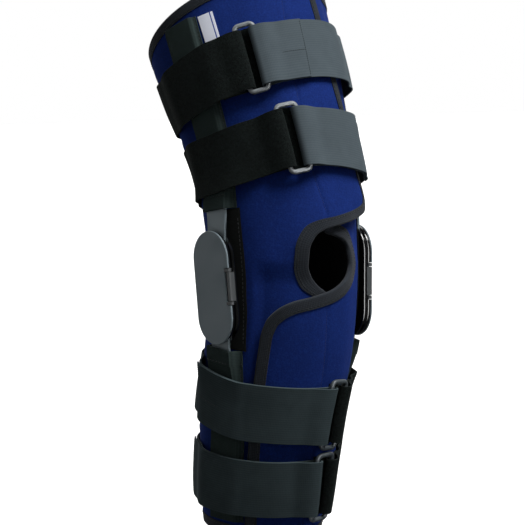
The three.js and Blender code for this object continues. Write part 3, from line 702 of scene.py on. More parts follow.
class SeamPoint(NamedTuple):
    """A point on a line of stitching with the direction out of the cloth."""

    point: Vector
    normal: Vector


def seam(at: Where, steps: int, lift: float) -> list[SeamPoint]:
    """Line of stitching on a cloth.

    Args:
        at: Gives the point at a share along the line and a lift off the cloth.
        steps: Steps along the line.
        lift: Lift of the thread.

    Returns:
        The line from end to end.
    """
    line = []
    for share in spread(0, 1, steps):
        point = at(share, lift)
        line.append(SeamPoint(point, (at(share, lift + 1) - point).normalized()))
    return line


@dataclass(frozen=True)
class Stitching:
    """Lockstitch: short threads that sink into the cloth at even steps."""

    length: float = 2.7
    pitch: float = 3.7
    thread: float = 0.34
    thread_sides: int = 6
    thread_rings: int = 4

    def stitch(self, bm: Mesh, middle: Vector, tangent: Vector, normal: Vector) -> None:
        """Adds one stitch.

        Args:
            bm: The mesh to add to.
            middle: Its middle.
            tangent: The way that the seam runs.
            normal: The way out of the cloth.
        """
        side = tangent.cross(normal).normalized()
        upright = side.cross(tangent)
        place = placed(middle, side * self.thread, upright * self.thread, tangent * self.length / 2)
        bmesh.ops.create_uvsphere(
            bm, u_segments=self.thread_sides, v_segments=self.thread_rings, radius=1.0, matrix=place
        )

    def sew(self, name: str, lines: Sequence[Sequence[SeamPoint]]) -> Piece:
        """Sews lines of stitches as one piece.

        Args:
            name: The piece's name.
            lines: The lines to follow.

        Returns:
            The new piece.
        """
        bm = bmesh.new()
        for line in lines:
            walked = 0.0
            due = self.pitch / 2
            for here, ahead in zip(line, line[1:]):
                run = ahead.point - here.point
                while run.length > 0 and due <= walked + run.length:
                    share = (due - walked) / run.length
                    self.stitch(bm, here.point.lerp(ahead.point, share), run.normalized(), here.normal)
                    due += self.pitch
                walked += run.length
        return new_piece(name, bm)


STITCHES = Stitching()
CLOSE_STITCHES = Stitching(length=1.9, pitch=2.0, thread=0.26)


# Sleeve


@dataclass(frozen=True)
class Lap:
    """Where a flap rises over the other end of the sheet, and where that end sinks under it."""

    place_from: float
    place_to: float
    angle_from: float
    angle_to: float
    sink_from: float
    sink_to: float


@dataclass(frozen=True)
class Sleeve:
    """One neoprene sheet wrapped round the leg, its two shaped ends lapped at the front."""

    form: LegForm
    wall: float = 2.6
    rim: float = 0.5
    top: float = 238.0
    top_rise: float = 12.0
    bottom: float = -218.0
    rise_from: float = 60.0
    girth_row: float = 70.0
    lap_over: float = 3.2
    lap_under: float = 3.4
    columns: tuple[int, int, int] = (100, 104, 84)
    body_from: float = 60.0
    body_to: float = 300.0
    groove: float = 0.8
    groove_reach: float = 1.8
    groove_rows: Span = (-12.0, 50.0)
    bulge_angle: Span = (98.0, 124.0)
    crease_depth: float = 0.9
    crease_pitch: float = 23.0
    crease_slant: float = 0.08
    crease_sharpness: int = 6
    crease_angle: Span = (118.0, 150.0)
    crease_low: Span = (-58.0, -30.0)
    crease_high: Span = (72.0, 40.0)
    upper_edge: SmoothTable = SmoothTable((
        (-218, -25), (-60, -25), (-14, 2), (-4, 2), (2, -6), (9, -12.5), (18, -16), (30, -15.5), (39, -11),
        (44, -3), (47, 12), (52, 36), (58, 49), (68, 53), (82, 50), (115, 36), (150, 26), (238, 19),
    ))
    lower_edge: SmoothTable = SmoothTable((
        (-218, -50.5), (-80, -50.5), (-38, -49), (-24, -45.5), (-15, -38), (-9, -27), (-5, -10), (-1, 5),
        (4, 15.5), (10, 24.5), (18, 30), (28, 30.5), (35, 25.5), (39, 15), (42, 4), (47, -2), (60, -2),
        (238, 2),
    ))
    corner_lift: float = 4.2
    corner_angle: Span = (28.0, 52.0)
    corner_low: Span = (44.0, 56.0)
    corner_high: Span = (92.0, 62.0)
    upper_lap: Lap = Lap(16, 37, -42, -15, 64, 48)
    lower_lap: Lap = Lap(24, 4, 40, 14, -60, -48)
    thigh_seam: SmoothTable = SmoothTable(((56, 0), (89, -8), (142, -10), (222, -5), (238, -4)))
    calf_seam: SmoothTable = SmoothTable(((-218, 4), (-77, 2), (-18, 0)))
    thigh_sewn: Span = (57.0, 234.0)
    calf_sewn: Span = (-16.0, -214.0)
    seam_steps: int = 90
    bulge: SmoothTable = SmoothTable((
        (-218, 0), (-202, 0.7), (-194, 0), (-140, 0), (-136, 0.9), (-131, 0), (-76, 0), (-60, 0.6),
        (60, 0.6), (84, 0), (130, 0), (142, 1.3), (153, 0), (205, 0), (222, 0.9), (238, 0),
    ))
    row_bands: tuple[tuple[float, float, int], ...] = (
        (-218, -60, 34), (-60, -16, 14), (-16, 8, 18), (8, 36, 12), (36, 60, 26), (60, 120, 18),
        (120, 238, 28),
    )

    def rows(self) -> list[float]:
        """Places of the sheet's rows, closer where the edges run sideways.

        Returns:
            The places from the bottom hem to the top hem.
        """
        places = [self.row_bands[0][0]]
        for band in self.row_bands:
            places += spread(*band)[1:]
        return places

    def risen(self, row: float, angle: float) -> float:
        """Place of a row at an angle: the top hem rises towards the front."""
        return row + self.top_rise * math.cos(math.radians(angle)) * ramp(row, self.rise_from, self.top)

    def wrap_ends(self, row: float) -> Span:
        """Wrap angles of the upper and lower flaps' edges."""
        return -self.upper_edge.at(row), 360 - self.lower_edge.at(row)

    def wrap_angle(self, row: float, share: float) -> float:
        """Wrap angle at a share of the columns.

        Args:
            row: The row's place.
            share: Share of the columns, from the upper flap's edge to the lower flap's.

        Returns:
            Degrees round by the -X side and the back.
        """
        start, end = self.wrap_ends(row)
        upper, body, lower = self.columns
        column = share * (upper + body + lower)
        if column <= upper:
            return mix(start, self.body_from, column / upper)
        if column <= upper + body:
            return mix(self.body_from, self.body_to, (column - upper) / body)
        return mix(self.body_to, end, (column - upper - body) / lower)

    def lap_lift(self, row: float, wrap: float) -> float:
        """How far an end rises over the other end, or sinks below it.

        Args:
            row: The row's place.
            wrap: The wrap angle.

        Returns:
            The lift in millimetres.
        """
        on_upper = wrap < 180
        angle = -wrap if on_upper else 360 - wrap
        over, under = (self.upper_lap, self.lower_lap) if on_upper else (self.lower_lap, self.upper_lap)
        rise = ramp(row, over.place_from, over.place_to) * ramp(angle, over.angle_from, over.angle_to)
        sink = ramp(row, under.place_from, under.place_to) * ramp(angle, under.sink_from, under.sink_to)
        lift = self.lap_over * rise - self.lap_under * sink
        if on_upper:
            corner = ramp(row, *self.corner_low) * ramp(row, *self.corner_high)
            lift += self.corner_lift * corner * ramp(angle, *self.corner_angle)
        return lift

    def point(self, row: float, wrap: float, depth: float = 0.0) -> Vector:
        """Point of the sheet at a depth below its outer face."""
        return self.form.point(self.risen(row, -wrap), -wrap, self.lap_lift(row, wrap) - depth)

    def relief(self, row: float, wrap: float) -> float:
        """Lift of the sheet's bulges between straps, creases behind the knee and sewn grooves.

        Args:
            row: The row's place.
            wrap: The wrap angle.

        Returns:
            The lift in millimetres.
        """
        on_upper = wrap < 180
        angle = -wrap if on_upper else 360 - wrap
        lift = self.bulge.at(row) * ramp(abs(angle), *self.bulge_angle)
        behind = ramp(abs(angle), *self.crease_angle)
        behind *= ramp(row, *self.crease_low) * ramp(row, *self.crease_high)
        wave = math.cos(2 * math.pi * (row + self.crease_slant * angle) / self.crease_pitch)
        lift -= self.crease_depth * behind * wave**self.crease_sharpness
        table = None
        if on_upper and row > self.groove_rows[1]:
            table = self.thigh_seam
        elif not on_upper and row < self.groove_rows[0]:
            table = self.calf_seam
        if table:
            apart = math.radians(angle - table.at(row)) * self.form.front.at(row)
            lift -= self.groove * math.exp(-((apart / self.groove_reach) ** 2))
        return lift

    def seam_line(self, table: SmoothTable, sewn: Span) -> list[SeamPoint]:
        """Stitches sunk in the front seam, on the thigh or on the calf.

        Args:
            table: The seam's angle along the leg.
            sewn: Rows of its two ends.

        Returns:
            The line for the stitches.
        """
        base = 0 if sewn[0] > 0 else 360

        def at(share: float, lift: float) -> Vector:
            """Point over the seam at a share along it."""
            row = mix(*sewn, share)
            return self.point(row, base - table.at(row), -lift)

        return seam(at, self.seam_steps, -self.groove)

    def face_point(self, row: float, share: float) -> Vector:
        """Point of the sheet's outer face at a share of the columns."""
        wrap = self.wrap_angle(row, share)
        return self.point(row, wrap, -self.relief(row, wrap))

    def build(self) -> None:
        """Builds and dresses the sleeve and its front seam."""
        rows = self.rows()
        last = len(rows) - 1
        start, end = self.wrap_ends(self.girth_row)
        degree = (self.point(self.girth_row, 0) - self.point(self.girth_row, 1)).length
        size = (self.top + self.top_rise - self.bottom, degree * (end - start))
        piece = bent_cut(
            SLEEVE, self.form, (last, sum(self.columns)), size,
            lambda u, v: self.face_point(rows[round(u * last)], v),
        )
        dress(piece, NEOPRENE, "neoprene", nodes=["wrap_sleeve"])
        piece.data.materials.append(LINING.material())
        thicken(piece, self.wall, -1.0, self.rim, lining=True)
        runs = ((self.thigh_seam, self.thigh_sewn), (self.calf_seam, self.calf_sewn))
        lines = [self.seam_line(table, sewn) for table, sewn in runs]
        dress(CLOSE_STITCHES.sew("front_seam_thread", lines), BLUE_THREAD, "neoprene")
        lay_sheet(piece, size)


class EdgeStation(NamedTuple):
    """A point of a bound edge on the sheet, with the step on the sheet that leads off it."""

    row: float
    wrap: float
    row_out: float
    wrap_out: float


@dataclass(frozen=True)
class EdgeBindings:
    """Tape folded over every raw edge of the sleeve and sewn down."""

    sleeve: Sleeve
    tape: float = 0.7
    rim: float = 0.22
    gap: float = 0.9
    roll_gap: float = 0.25
    roll_span: Span = (0.05, 0.6)
    seated: float = 0.1
    flatness: float = 0.55
    upper_reach: float = 7.5
    lower_reach: float = 9.5
    hem_reach: float = 8.5
    hidden_end: float = 6.0
    lower_flap_top: float = 48.0
    kneecap_reach: float = 12.0
    kneecap_low: Span = (-3.0, 9.0)
    kneecap_high: Span = (47.0, 38.0)
    corner_gap: float = 1.8
    spacing: float = 2.0
    upper_samples: int = 500
    lower_samples: int = 540
    hem_samples: int = 400
    leg_share: float = 0.36
    judged_share: float = 0.8
    cells_across: int = 22
    stitch_inset: float = 0.24
    stitch_lift: float = 0.05

    def stations(self, edge: Sequence[Span], side: int) -> tuple[list[EdgeStation], float]:
        """Even stations along an edge.

        Args:
            edge: Close (row, wrap) points along it.
            side: Sign that turns outwards off the sheet.

        Returns:
            The stations and the edge's length in millimetres.
        """
        points = [self.sleeve.point(row, wrap) for row, wrap in edge]
        walked = [0.0]
        for a, b in zip(points, points[1:]):
            walked.append(walked[-1] + (b - a).length)
        count = round(walked[-1] / self.spacing)
        even = []
        for k in range(count + 1):
            due = walked[-1] * k / count
            i = min(max(bisect_right(walked, due) - 1, 0), len(edge) - 2)
            share = (due - walked[i]) / (walked[i + 1] - walked[i])
            even.append((mix(edge[i][0], edge[i + 1][0], share), mix(edge[i][1], edge[i + 1][1], share)))
        found = []
        for k, (row, wrap) in enumerate(even):
            here = self.sleeve.point(row, wrap)
            per_row = (self.sleeve.point(row + 1, wrap) - here).length
            per_degree = (self.sleeve.point(row, wrap + 1) - here).length
            ahead = even[min(k + 1, count)]
            behind = even[max(k - 1, 0)]
            run = Vector(((ahead[0] - behind[0]) * per_row, (ahead[1] - behind[1]) * per_degree)).normalized()
            found.append(EdgeStation(row, wrap, -side * run.y / per_row, side * run.x / per_degree))
        return found, walked[-1]

    def section(self, share: float, reach: float) -> Span:
        """Middle of the folded tape across it.

        Args:
            share: Share across the tape, from its outer edge round the fold to its inner edge.
            reach: Width of the tape on each face of the sheet.

        Returns:
            Distance off the raw edge and lift off the outer face.
        """
        half_wall = self.sleeve.wall / 2
        radius = half_wall + self.roll_gap + self.tape / 2
        low = half_wall + self.tape / 2 + self.seated
        leg = self.leg_share
        if leg < share < 1 - leg:
            swing = math.pi * (0.5 - (share - leg) / (1 - 2 * leg))
            return self.flatness * radius * math.cos(swing), radius * math.sin(swing) - half_wall
        inner = share >= 1 - leg
        along = (1 - share if inner else share) / leg
        height = mix(low, radius, ramp(along, *self.roll_span))
        return -reach * (1 - along), (-height if inner else height) - half_wall

    def tape_along(self, name: str, edge: Sequence[Span], side: int, reach: float) -> list[SeamPoint]:
        """Makes one tape and gives the line that it is sewn on.

        Args:
            name: The tape's node, which the piece replaces.
            edge: Close (row, wrap) points along the edge.
            side: Sign that turns outwards off the sheet.
            reach: Width of the tape on each face.

        Returns:
            The line of its stitches.
        """
        found, length = self.stations(edge, side)
        last = len(found) - 1

        def on_tape(along: float, share: float, raised: float) -> Vector:
            """Point of the tape, wider beside the kneecap.

            Args:
                along: Share along the tape.
                share: Share across it.
                raised: Lift off its middle.

            Returns:
                The point in millimetres.
            """
            at = found[round(along * last)]
            beside = ramp(at.row, *self.kneecap_low) * ramp(at.row, *self.kneecap_high) if side < 0 else 0.0
            out, lift = self.section(share, mix(reach, self.kneecap_reach, beside))
            return self.sleeve.point(at.row + at.row_out * out, at.wrap + at.wrap_out * out, -lift - raised)

        size = (length, 2 * reach + math.pi * (self.sleeve.wall / 2 + self.gap))
        piece = bent_cut(
            f"{name}_tape", self.sleeve.form, (last, self.cells_across), size,
            lambda u, v: on_tape(u, v, 0.0), (1.0, self.leg_share * self.judged_share),
        )
        thicken(piece, self.tape, 0.0, self.rim, even=False)
        dress(piece, TAPE, "binding", nodes=[name])
        lay_sheet(piece, size)
        sewn = self.leg_share * self.stitch_inset
        return seam(lambda share, lift: on_tape(share, sewn, lift), last, self.tape / 2 + self.stitch_lift)

    def build(self) -> None:
        """Builds the four tapes and their stitching."""
        sleeve = self.sleeve
        top, bottom = sleeve.top, sleeve.bottom
        top_start, top_end = sleeve.wrap_ends(top)
        top_start += sleeve.form.turn(self.upper_reach + self.corner_gap, top, 0)
        low_start, low_end = sleeve.wrap_ends(bottom)
        low_end -= sleeve.form.turn(self.lower_reach + self.corner_gap, bottom, 0)
        upper_rows = spread(-self.hidden_end, top, self.upper_samples)
        lower_rows = spread(bottom, self.lower_flap_top, self.lower_samples)
        upper = [(row, sleeve.wrap_ends(row)[0]) for row in upper_rows]
        lower = [(row, sleeve.wrap_ends(row)[1]) for row in lower_rows]
        top_hem = [(top, wrap) for wrap in spread(top_start, top_end, self.hem_samples)]
        bottom_hem = [(bottom, wrap) for wrap in spread(low_start, low_end, self.hem_samples)]
        lines = [
            self.tape_along("upper_flap_binding", upper, -1, self.upper_reach),
            self.tape_along("lower_flap_binding", lower, 1, self.lower_reach),
            self.tape_along("top_hem_binding", top_hem, -1, self.hem_reach),
            self.tape_along("bottom_hem_binding", bottom_hem, 1, self.hem_reach),
        ]
        dress(STITCHES.sew("binding_thread", lines), THREAD, "binding")


# Hinges


class Side(Enum):
    """Side of the knee, by the sign of X."""

    LEFT = -1
    RIGHT = 1

    @property
    def word(self) -> str:
        """The side's name in the nodes."""
        return self.name.lower()


class HingeFrame(NamedTuple):
    """Flat frame of a hinge: its middle on the sleeve and its three directions."""

    origin: Vector
    forward: Vector
    up: Vector
    outward: Vector


class ArmStation(NamedTuple):
    """A cross-section of an arm: its middle, its direction across and its half width."""

    point: Vector
    across: Vector
    half_width: float


def bevel(bm: Mesh, edges: Sequence[Any], radius: float, segments: int = 2, clamp: bool = False) -> None:
    """Rounds edges of a mesh."""
    shape = {"offset": radius, "segments": segments, "profile": 0.5, "clamp_overlap": clamp}
    bmesh.ops.bevel(bm, geom=edges, affect="EDGES", material=-1, **shape)


@dataclass(frozen=True)
class KneeHinge:
    """One side's hinge: pad, tray, lid, two arms and the pockets that hold them."""

    form: LegForm
    sleeve: Sleeve
    side: Side
    lean: float = math.radians(5)
    length: float = 99.0
    width: float = 49.0
    side_span: float = 45.0
    arc_steps: int = 28
    crease: float = 40.0
    floor: float = 2.5
    floor_edge: float = 1.2
    bed: float = 4.05
    rail: float = 20.5
    tray_top: float = 6.4
    lid_from: float = 6.75
    lid_top: float = 11.6
    lid_face: float = 10.0
    lid_edge: float = 0.8
    skirt_edge: float = 1.5
    skirt_inset: float = 0.5
    edge_steps: int = 4
    knuckle_forward: float = 23.0
    knuckle_lift: float = 9.15
    knuckle_radius: float = 2.4
    knuckle_half: float = 12.5
    knuckle_sunk: float = 1.0
    barrel_sides: int = 28
    barrel_edge: float = 0.35
    block_edge: float = 0.25
    ear: float = 3.0
    ear_gap: float = 0.4
    finger_gap: float = 1.2
    arm_half: float = 12.0
    arm_thickness: float = 2.0
    arm_edge: float = 0.35
    arm_tip: float = 0.08
    arm_lift: float = 5.4
    arm_steps: int = 34
    arm_round_steps: int = 10
    arm_cells: int = 6
    pivot: float = 14.0
    rivet: float = 4.3
    rivet_sides: int = 32
    rivet_height: float = 0.4
    rivet_lift: float = 0.08
    pocket_lift: float = 1.5
    flat_end: float = 51.0
    bend_end: float = 62.0
    pocketed_from: float = 100.0
    upper_end: float = 205.0
    lower_end: float = -185.0
    cloth: float = 1.0
    cloth_rim: float = 0.25
    seat: float = 0.4
    arm_gap: float = 0.7
    gape: float = 1.4
    gape_span: Span = (52.0, 82.0)
    shoulder: Span = (16.2, 13.3)
    tunnel_crown: float = 0.45
    pocket_half: float = 18.5
    pocket_cells: int = 36
    pocket_row: float = 3.0
    hem_gap: float = 12.5
    upper_mouth: float = 65.5
    lower_mouth: float = -51.5
    mouth_hem: float = 13.5
    hem_start: float = 0.4
    hem_cloth: float = 0.7
    hem_lift: float = 0.1
    side_stitch_inset: float = 1.6
    hem_stitch_inset: float = 1.0
    hem_stitch_off: float = 2.0
    stitch_end: float = 1.5
    hem_stitch_lift: float = 0.9
    side_steps: int = 60
    hem_steps: int = 40
    pad_thickness: float = 1.1
    pad_rim: float = 0.35
    pad_seat: float = 0.55
    pad_half: float = 24.0
    pad_forward: float = 3.0
    pad_taper: float = 6.0
    pad_low_taper: float = 5.0
    pad_low_from: float = -12.0
    pad_span: Span = (-51.2, 65.2)
    pad_cells: tuple[int, int] = (60, 24)
    pad_stitch_ends: Span = (0.05, 0.95)
    pad_stitch_rows: Span = (0.06, 0.94)
    pad_stitch_lift: float = 0.05
    left_line: SmoothTable = SmoothTable((
        (-218, 74), (-140, 74), (-60, 79.5), (0, 87.5), (70, 83), (150, 76.5), (238, 73),
    ))
    right_line: SmoothTable = SmoothTable((
        (-218, 92), (-140, 91), (-60, 88), (0, 85), (70, 84), (150, 86), (238, 87),
    ))

    def node(self, name: str) -> str:
        """Name of one of this side's nodes."""
        return f"{self.side.word}_{name}"

    def angle(self, place: float) -> float:
        """Angle of the side line that the arms follow."""
        line = self.left_line if self.side is Side.LEFT else self.right_line
        return self.side.value * line.at(place)

    @cached_property
    def frame(self) -> HingeFrame:
        """The hinge's flat frame, leaned back with the thigh.

        Returns:
            The frame in millimetres.
        """
        low = self.form.point(-self.side_span, self.angle(-self.side_span))
        high = self.form.point(self.side_span, self.angle(self.side_span))
        here = self.form.frame(0, self.angle(0))
        rise = (high - low).normalized()
        outward = (here.normal - rise * here.normal.dot(rise)).normalized()
        ahead = (rise.cross(outward) * -self.side.value).normalized()
        up = rise * math.cos(self.lean) - ahead * math.sin(self.lean)
        forward = ahead * math.cos(self.lean) + rise * math.sin(self.lean)
        return HingeFrame(here.point, forward, up, outward)

    def plate(self, start: float, end: float, inset: float = 0.0, notched: bool = False) -> Mesh:
        """Flat plate with round ends, drawn with x forward, y up and z outwards.

        Args:
            start: Lift of its under face.
            end: Lift of its top face.
            inset: How far its outline lies inside the hinge's.
            notched: Whether its front edge is cut back for the knuckle.

        Returns:
            The closed mesh.
        """
        bm = bmesh.new()
        radius = self.width / 2 - inset
        half = self.length / 2 - self.width / 2
        chains = []
        for sign in (1, -1):
            first = bm.verts.new((sign * radius, sign * half, start))
            spun = bmesh.ops.spin(
                bm, geom=[first], cent=(0, sign * half, start), axis=(0, 0, 1), angle=math.pi,
                steps=self.arc_steps,
            )
            chains.append((first, of_kind(spun["geom_last"], bmesh.types.BMVert)[0]))
        (top_front, top_back), (low_back, low_front) = chains
        bm.edges.new((top_back, low_back))
        corners = [low_front]
        if notched:
            end_of = self.knuckle_half + 2 * self.ear_gap + self.ear
            depth = self.knuckle_forward - self.knuckle_radius - self.finger_gap
            for x, y in ((radius, -end_of), (depth, -end_of), (depth, end_of), (radius, end_of)):
                corners.append(bm.verts.new((x, y, start)))
        corners.append(top_front)
        for a, b in zip(corners, corners[1:]):
            bm.edges.new((a, b))
        bmesh.ops.contextual_create(bm, geom=bm.edges[:])
        raised = bmesh.ops.extrude_face_region(bm, geom=bm.faces[:])["geom"]
        bmesh.ops.translate(bm, vec=(0, 0, end - start), verts=of_kind(raised, bmesh.types.BMVert))
        bmesh.ops.recalc_face_normals(bm, faces=bm.faces[:])
        return bm

    def soften(self, bm: Mesh, level: float, radius: float) -> None:
        """Rounds the edges of a plate that lie at one lift."""
        edges = [e for e in bm.edges if all(abs(v.co.z - level) < 1e-4 for v in e.verts)]
        bevel(bm, edges, radius, self.edge_steps, clamp=True)

    def barrel(self, bm: Mesh, start: float, end: float) -> None:
        """Adds a stretch of the knuckle's barrel with rounded rims.

        Args:
            bm: The mesh to add to.
            start: Where it starts along the pin.
            end: Where it ends.
        """
        place = Matrix.Translation((self.knuckle_forward, (start + end) / 2, self.knuckle_lift))
        made = bmesh.ops.create_cone(
            bm, cap_ends=True, segments=self.barrel_sides, radius1=self.knuckle_radius,
            radius2=self.knuckle_radius, depth=end - start,
            matrix=place @ Matrix.Rotation(math.pi / 2, 4, "X"),
        )
        caps = {f for v in made["verts"] for f in v.link_faces if len(f.verts) > 4}
        bevel(bm, list({e for f in caps for e in f.edges}), self.barrel_edge)

    def block(self, bm: Mesh, low: Sequence[float], high: Sequence[float]) -> None:
        """Adds a block with softened edges.

        Args:
            bm: The mesh to add to.
            low: Its low corner forward, up and outwards.
            high: Its high corner.
        """
        size = Vector(high) - Vector(low)
        place = Matrix.Translation((Vector(low) + Vector(high)) / 2) @ Matrix.Diagonal((*size, 1))
        made = bmesh.ops.create_cube(bm, size=1.0, matrix=place)
        bevel(bm, list({e for v in made["verts"] for e in v.link_edges}), self.block_edge)

    def finish_hard(self, name: str, bm: Mesh, finish: Finish, slot: str, **dressing: Any) -> None:
        """Seats a hard mesh in the hinge and dresses it, its wide faces shaded flat.

        Args:
            name: The piece's name without its side.
            bm: The closed mesh, drawn with x forward, y up and z outwards.
            finish: Its surface.
            slot: A material slot's name, passed on to dress.
            **dressing: The body and nodes for its dressing.
        """
        frame = self.frame
        place = placed(frame.origin, frame.forward, frame.up, frame.outward)
        bmesh.ops.transform(bm, matrix=place, verts=bm.verts[:])
        bmesh.ops.recalc_face_normals(bm, faces=bm.faces[:])
        piece = new_piece(self.node(name), bm, self.crease)
        piece.modifiers.new("flats", "WEIGHTED_NORMAL").keep_sharp = True
        dress(piece, finish, slot, **dressing)

    def build_tray(self) -> None:
        """Builds the tray: a floor, two rails, the knuckle's barrel and the arms' rivets."""
        floor = self.plate(self.floor, self.bed)
        self.soften(floor, self.floor, self.floor_edge)
        self.finish_hard("tray_floor", floor, TRAY_NYLON, "housing", nodes=[self.node("hinge_housing")])
        for sign, word in ((1, "front"), (-1, "rear")):
            rail = self.plate(self.bed, self.tray_top)
            bmesh.ops.bisect_plane(
                rail, geom=rail.verts[:] + rail.edges[:] + rail.faces[:], plane_co=(sign * self.rail, 0, 0),
                plane_no=(sign, 0, 0), clear_inner=True,
            )
            bmesh.ops.holes_fill(rail, edges=[e for e in rail.edges if e.is_boundary])
            self.finish_hard(f"tray_{word}_rail", rail, TRAY_NYLON, "housing")
        knuckle = bmesh.new()
        half = self.knuckle_half
        self.barrel(knuckle, -half, half)
        near = self.knuckle_forward - self.knuckle_radius
        far = self.knuckle_forward + self.knuckle_radius
        self.block(knuckle, (near, -half, self.tray_top - self.knuckle_sunk), (far, half, self.knuckle_lift))
        self.finish_hard("knuckle_barrel", knuckle, KNUCKLE_NYLON, "housing")
        rivets = bmesh.new()
        for sign in (-1, 1):
            bmesh.ops.create_cone(
                rivets, cap_ends=True, segments=self.rivet_sides, radius1=self.rivet,
                radius2=self.rivet - self.rivet_height, depth=self.rivet_height,
                matrix=Matrix.Translation((0, sign * self.pivot, self.tray_top + self.rivet_lift)),
            )
        self.finish_hard("arm_rivets", rivets, RIVET_STEEL, "arm")

    def build_lid(self) -> None:
        """Builds the lid: a black skirt and a grey face, notched for the knuckle, with two ears."""
        body = f"{self.side.word}_cover"
        skirt = self.plate(self.lid_from, self.lid_face, inset=self.skirt_inset, notched=True)
        self.soften(skirt, self.lid_from, self.skirt_edge)
        self.finish_hard("lid_skirt", skirt, TRAY_NYLON, "housing", body=body)
        lid = self.plate(self.lid_face, self.lid_top, notched=True)
        self.soften(lid, self.lid_top, self.lid_edge)
        ears = bmesh.new()
        near = self.knuckle_forward - self.knuckle_radius - 2 * self.finger_gap
        low = self.knuckle_lift - self.knuckle_radius
        high = self.knuckle_lift + self.knuckle_radius
        for start in (self.knuckle_half + self.ear_gap, -self.knuckle_half - self.ear_gap - self.ear):
            self.barrel(ears, start, start + self.ear)
            self.block(ears, (near, start, low), (self.knuckle_forward, start + self.ear, high))
        self.finish_hard("lid_ears", ears, KNUCKLE_NYLON, "housing", body=body)
        self.finish_hard("lid", lid, LID_NYLON, "cover", body=body, nodes=[self.node("hinge_cover")])

    def arm_rise(self, place: float) -> float:
        """Lift of an arm's middle: flat in the hinge, then down into its pocket.

        Args:
            place: Distance along the leg.

        Returns:
            The lift off the sleeve.
        """
        bend = math.copysign(self.bend_end, place)
        surface = (self.form.point(bend, self.angle(bend)) - self.frame.origin).dot(self.frame.outward)
        settled = ramp(abs(place), self.bend_end, self.pocketed_from)
        return mix(self.arm_lift - surface, self.pocket_lift, settled)

    def arm_point(self, place: float) -> Vector:
        """Point of an arm's middle."""
        return self.form.point(place, self.angle(place), self.arm_rise(place))

    def arm_line(self, end: float) -> list[ArmStation]:
        """Cross-sections of an arm from its pivot to its far end.

        Args:
            end: Place of the far end.

        Returns:
            The cross-sections in order.
        """
        way = math.copysign(1.0, end)
        frame = self.frame
        pivot = frame.origin + frame.up * way * self.pivot + frame.outward * self.arm_lift
        bend = way * self.bend_end
        run = (self.arm_point(bend) - pivot).normalized()
        across = run.cross(frame.outward).normalized()
        line = []
        for swing in spread(0, math.pi / 2, self.arm_round_steps):
            half = self.arm_half * max(math.sin(swing), self.arm_tip)
            line.append(ArmStation(pivot - run * self.arm_half * math.cos(swing), across, half))
        line.append(ArmStation(pivot + run * (self.flat_end - self.pivot), across, self.arm_half))
        for place in spread(bend, end, self.arm_steps - 1):
            here = self.form.frame(place, self.angle(place), self.arm_rise(place))
            ahead = (self.arm_point(place + way) - here.point).normalized()
            line.append(ArmStation(here.point, ahead.cross(here.normal).normalized(), self.arm_half))
        return line

    def build_arm(self, name: str, end: float) -> None:
        """Builds an arm.

        Args:
            name: Its name without its side.
            end: Place of its far end.
        """
        line = self.arm_line(end)
        last = len(line) - 1

        def where(u: float, v: float) -> Vector:
            """Point of the arm's middle face at shares along and across it."""
            at = line[round(u * last)]
            return at.point + at.across * (v * 2 - 1) * at.half_width

        size = (abs(end), 2 * self.arm_half)
        piece = bent_cut(f"{self.node(name)}_bar", self.form, (last, self.arm_cells), size, where)
        thicken(piece, self.arm_thickness, 0.0, self.arm_edge)
        dress(piece, ARM_ALUMINIUM, "arm", nodes=[self.node(name)])

    def tunnel_top(self, place: float) -> float:
        """Lift of the cloth tunnel over an arm, which gapes at its mouth."""
        gape = self.gape * (1 - ramp(abs(place), *self.gape_span))
        return self.arm_rise(place) + self.arm_thickness / 2 + self.arm_gap + gape

    def pocket_point(self, place: float, out: float, lift: float) -> Vector:
        """Point of a pocket's cloth: a sewn flange on each side and a tunnel between them.

        Args:
            place: Distance along the leg.
            out: Distance from the side line.
            lift: Distance off the cloth's under face.

        Returns:
            The point in millimetres.
        """
        middle = self.angle(place)
        flange = self.form.point(place, middle + self.form.turn(out, place, middle), self.seat + lift)
        crown = self.tunnel_crown * max(0.0, 1 - (out / self.shoulder[1]) ** 2)
        top = self.form.frame(place, middle, self.tunnel_top(place) + lift + crown)
        return flange.lerp(top.point + top.around * out, ramp(abs(out), *self.shoulder))

    def cloth_strip(
        self, name: str, span: Span, lift: float, thickness: float, nodes: Sequence[str] = ()
    ) -> None:
        """Makes a strip of pocket cloth over an arm.

        Args:
            name: The piece's name.
            span: Places of its two ends.
            lift: Lift over the pocket's under face.
            thickness: Its thickness.
            nodes: The solids that it replaces.
        """
        size = (abs(span[1] - span[0]), 2 * self.pocket_half)
        piece = bent_cut(
            name, self.form, (max(6, round(size[0] / self.pocket_row)), self.pocket_cells), size,
            lambda u, v: self.pocket_point(mix(*span, u), (v * 2 - 1) * self.pocket_half, lift),
        )
        thicken(piece, thickness, 1.0, self.cloth_rim)
        dress(piece, POCKET_CLOTH, "pocket", nodes=nodes)
        lay_sheet(piece, size)

    def build_pocket(self, name: str, mouth: float, end: float) -> list[list[SeamPoint]]:
        """Builds a pocket with its mouth's hem.

        Args:
            name: Its node.
            mouth: Place of its mouth.
            end: Place of its far end.

        Returns:
            The lines of its stitches: one along each side and one along the hem.
        """
        way = math.copysign(1.0, mouth)
        self.cloth_strip(f"{name}_cloth", (mouth, end), 0.0, self.cloth, [name])
        hem = (mouth + way * self.hem_start, mouth + way * self.mouth_hem)
        self.cloth_strip(f"{name}_hem", hem, self.cloth + self.hem_lift, self.hem_cloth)
        sewn = (mouth + way * (self.mouth_hem + self.hem_stitch_off), end - way * self.stitch_end)
        row = mouth + way * (self.mouth_hem - self.hem_stitch_off)
        side = self.pocket_half - self.side_stitch_inset
        half = self.pocket_half - self.hem_stitch_inset

